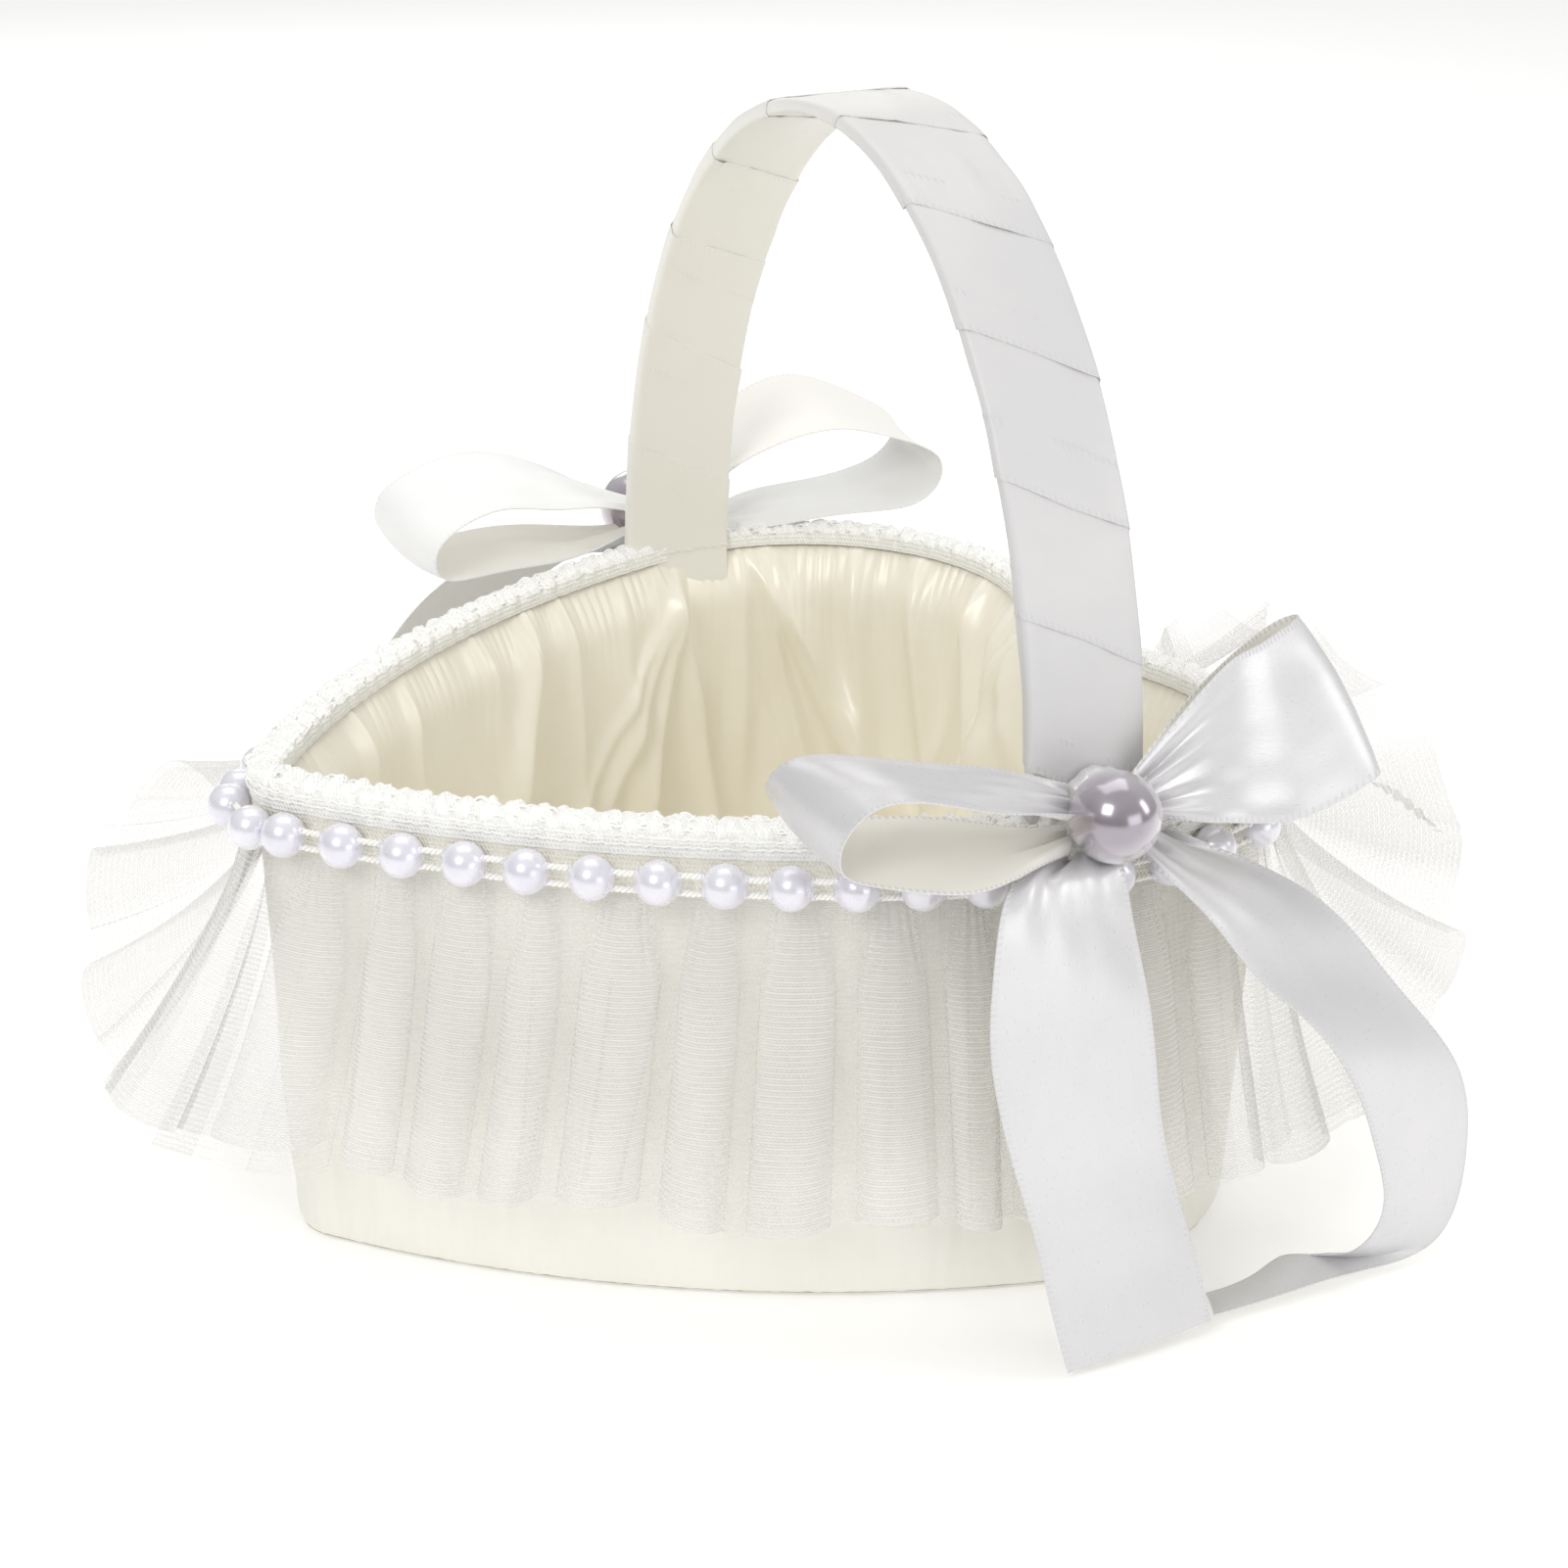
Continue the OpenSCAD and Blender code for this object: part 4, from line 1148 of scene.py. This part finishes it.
def make_bow_ribbon(name, seed):
    edge_a, edge_b = BOWS[name]
    is_loop = "loop" in name
    knot_node = name.split("_")[0] + "_knot"
    knot, _ = middle_of(knot_node)
    rows, cols = 260, 44
    a = knot + spline(edge_a, rows) * MM
    b = knot + spline(edge_b, rows) * MM
    middle = length_to((a + b) / 2)
    even = np.linspace(0, middle[-1], rows)
    a, b = (np.column_stack([np.interp(even, middle, e[:, k]) for k in range(3)]) for e in (a, b))
    wider = WIDER_BY if name.startswith("back_loop") else 0.0
    share = np.linspace(0, 1, cols)
    spread_share = mix(-wider, 1 + wider, share)
    points = mix(a[:, None], b[:, None], spread_share[None, :, None])
    normal = grid_normals(points, False)
    from_end = even if not is_loop else np.minimum(even, middle[-1] - even)
    narrow = 1 - np.clip(np.linalg.norm(a - b, axis=1) / RIBBON_W, 0, 1)
    x = share[None, :] - 0.5
    near = np.exp(-(from_end / (15 * MM)) ** 1.5)[:, None]
    pleats = np.cos(TAU * (2.2 * x + 0.1 * seed)) + 0.5 * np.cos(TAU * (4.1 * x + 0.37 * seed))
    spread = np.exp(-from_end / (24 * MM))[:, None]
    rays = ripple(x * 0.9 + 0.13 * seed, 3, 300 + seed, even[:, None] / 0.1, 0.5)
    crown = (1 - (2 * x) ** 2) * 1.3 * MM * (1 - near)
    swing = TAU * (even[:, None] / (62 * MM) + 0.35 * x + 0.2 * seed)
    wave = (0.9 if is_loop else 1.2) * MM * np.cos(swing)
    gathers = 1.0 * MM * pleats * near * (0.4 + narrow[:, None]) + 0.7 * MM * rays * spread
    lift = gathers + crown + wave * (1 - near)
    ridge = 0.10 * MM * np.exp(-((0.5 - np.abs(x)) * RIBBON_W / (0.8 * MM)) ** 2)
    points = points + normal * (lift + ridge)[..., None] * GLOSSY[name]
    if GLOSSY[name] < 0:
        points, share = points[:, ::-1], share[::-1]
    places = laid(even[:, None], (share[None, :] - 0.5) * RIBBON_W)
    ribbon = cloth_piece(name + "_ribbon", points, places, thick=0.3 * MM)
    dress(ribbon, "bow" if name.startswith("front") else "back_bow", "bow_ribbon", name)


def make_knot(end):
    """The gathered band round the middle of a bow"""
    node = end + "_knot"
    centre, half = middle_of(node)
    rows, cols = 180, 60
    turn = np.linspace(0, TAU, rows, endpoint=False)[:, None]
    rise = np.linspace(-0.5, 0.5, cols)[None, :] * math.pi
    pleat = 0.022 * np.cos(7 * turn + 1.5 * np.sin(rise)) + 0.018 * np.cos(12 * turn + 0.8)
    ring = np.cos(rise) ** 0.45 * (0.86 + pleat * np.cos(rise))
    x = half[0] * ring * np.cos(turn)
    z = half[2] * ring * np.sin(turn)
    y = half[1] * 1.05 * np.sign(np.sin(rise)) * np.abs(np.sin(rise)) ** 0.7 * (1 + 0.8 * pleat)
    points = centre + np.stack(np.broadcast_arrays(x, y, z), -1)
    quads, place_quads = grid_corners(rows, cols, True)
    round_band = np.arange(rows + 1)[:, None] * 0.3 * MM
    place = np.stack(np.broadcast_arrays(round_band, rise * 9 * MM, rise * 0), -1)
    knot = finish_mesh(end + "_knot_ribbon", points.reshape(-1, 3), quads,
                       place.reshape(-1, 3)[place_quads].reshape(-1, 3), closed=True)
    dress(knot, "bow", "bow_ribbon", node)


def make_big_pearl(end):
    """Large lacquered pearl with a flat back that is sewn to the knot by a small shank"""
    node = end + "_pearl"
    centre, half = middle_of(node)
    radius = half[2]
    away = -1.0 if end == "front" else 1.0
    turn = np.linspace(0.01, math.pi - 0.18, 64)
    profile = [(radius * math.sin(a), radius * math.cos(a)) for a in turn]
    back = radius * math.cos(turn[-1])
    profile += [(1.7 * MM, back), (1.5 * MM, back - 0.25 * MM), (0.01 * MM, back - 0.25 * MM)]
    pile = Pile()
    pile.add(*lathe(profile, 96, centre, (0, away, 0), (1, 0, 0)))
    dress(pile.build(end + "_big_pearl", 50), "big_pearl", "big_pearl", node)


def make_bows():
    for end in ("front", "back"):
        make_knot(end)
        make_big_pearl(end)
    for seed, name in enumerate(BOWS):
        make_bow_ribbon(name, seed)


# ---- CAD nodes that stay ----


def repaint_cad_nodes():
    for node, look in (("shell_wall", "board"), ("base_board", "board"), ("handle_core", "board"),
                       ("rim_wire", "wire")):
        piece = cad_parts[node]
        piece.data.materials.clear()
        piece.data.materials.append(LOOKS[look])


# ---- Floor, lights and camera ----

# The camera that took the photo, fitted to the heart's outline
VIEW_AZIMUTH = math.radians(-28.07)
VIEW_HEIGHT = math.radians(22.56)
VIEW_ROLL = math.radians(0.81)
VIEW_DISTANCE = 0.834
VIEW_CENTRE = Vector((-0.020, 0.0, 0.090))
LENS = 80.0
FLOOR_HALF = 12.0       # the floor runs out of sight on every side


def make_camera():
    level, down = math.cos(VIEW_HEIGHT), math.sin(VIEW_HEIGHT)
    forward = Vector((-math.sin(VIEW_AZIMUTH) * level, math.cos(VIEW_AZIMUTH) * level, -down))
    data = bpy.data.cameras.new("camera")
    data.lens = LENS
    data.clip_start = 0.01
    camera = bpy.data.objects.new("camera", data)
    camera.location = VIEW_CENTRE - forward * VIEW_DISTANCE
    turn = forward.to_track_quat("-Z", "Y") @ Quaternion((0, 0, 1), VIEW_ROLL)
    camera.rotation_mode = "QUATERNION"
    camera.rotation_quaternion = turn
    bpy.context.scene.collection.objects.link(camera)
    bpy.context.scene.camera = camera


SOFTBOXES = (      # name, place, width and height, watts
    ("key_light", (-1.05, -0.75, 1.05), (0.6, 0.6), 6.8),
    ("side_light", (1.15, -0.9, 0.75), (0.35, 0.7), 2.8),
    ("top_light", (0.1, 0.35, 1.45), (1.3, 1.0), 4.2),
    ("front_fill", (0.35, -1.35, 0.35), (0.8, 0.5), 2.2),
    ("back_fill", (0.4, 1.3, 0.6), (0.8, 0.5), 1.6),
)


def add_softbox(name, place, size, power):
    data = bpy.data.lights.new(name, "AREA")
    data.shape = "RECTANGLE"
    data.size, data.size_y = size
    data.energy = power
    light = bpy.data.objects.new(name, data)
    light.location = place
    aim = Vector((0, 0, 0.10)) - light.location
    light.rotation_mode = "QUATERNION"
    light.rotation_quaternion = aim.to_track_quat("-Z", "Y")
    bpy.context.scene.collection.objects.link(light)


def make_studio():
    scene = bpy.context.scene
    for softbox in SOFTBOXES:
        add_softbox(*softbox)
    world = bpy.data.worlds.new("studio")
    world.use_nodes = True
    sky = world.node_tree.nodes
    links = world.node_tree.links
    direction = sky.new("ShaderNodeTexCoord")
    height = sky.new("ShaderNodeSeparateXYZ")
    brightness = sky.new("ShaderNodeMapRange")
    for key, value in (("From Min", 0.0), ("From Max", 0.8), ("To Min", 0.32), ("To Max", 0.80)):
        brightness.inputs[key].default_value = value
    links.new(direction.outputs["Generated"], height.inputs[0])
    links.new(height.outputs[2], brightness.inputs["Value"])
    links.new(brightness.outputs[0], sky["Background"].inputs["Strength"])
    sky["Background"].inputs["Color"].default_value = (1.0, 0.995, 0.985, 1)
    scene.world = world
    half = FLOOR_HALF
    corners = [(-half, -half, 0), (half, -half, 0), (half, half, 0), (-half, half, 0)]
    mesh = bpy.data.meshes.new("studio_floor")
    mesh.from_pydata(corners, [], [(0, 1, 2, 3)])
    floor = bpy.data.objects.new("studio_floor", mesh)
    scene.collection.objects.link(floor)
    look = Look("studio_paper", Roughness=0.9, Specular_IOR_Level=0.1, Emission_Color=(1, 1, 1, 1),
                Emission_Strength=0.2)
    grain = look.noise(look.place(), 300.0, 2.0)
    look.feed("Base Color", look.blend(grain, rgb(247, 247, 246), rgb(244, 244, 243)))
    mesh.materials.append(look.material)
    scene.view_settings.view_transform = "Standard"
    scene.view_settings.exposure = 0.0


make_camera()
make_studio()
make_outer_cover()
make_bottom()
make_padded_floor()
make_lining()
make_lace_braid()
make_lace_loops()
make_lace_cords()
make_tape()
string = pearl_places()
make_small_pearls(string)
make_threads(string, 1, "upper_bead_thread", "thread_upper")
make_threads(string, -1, "lower_bead_thread", "thread_lower")
make_tulle()
make_foot_stitches(make_handle_wrap())
make_bows()
repaint_cad_nodes()

bpy.context.view_layer.update()
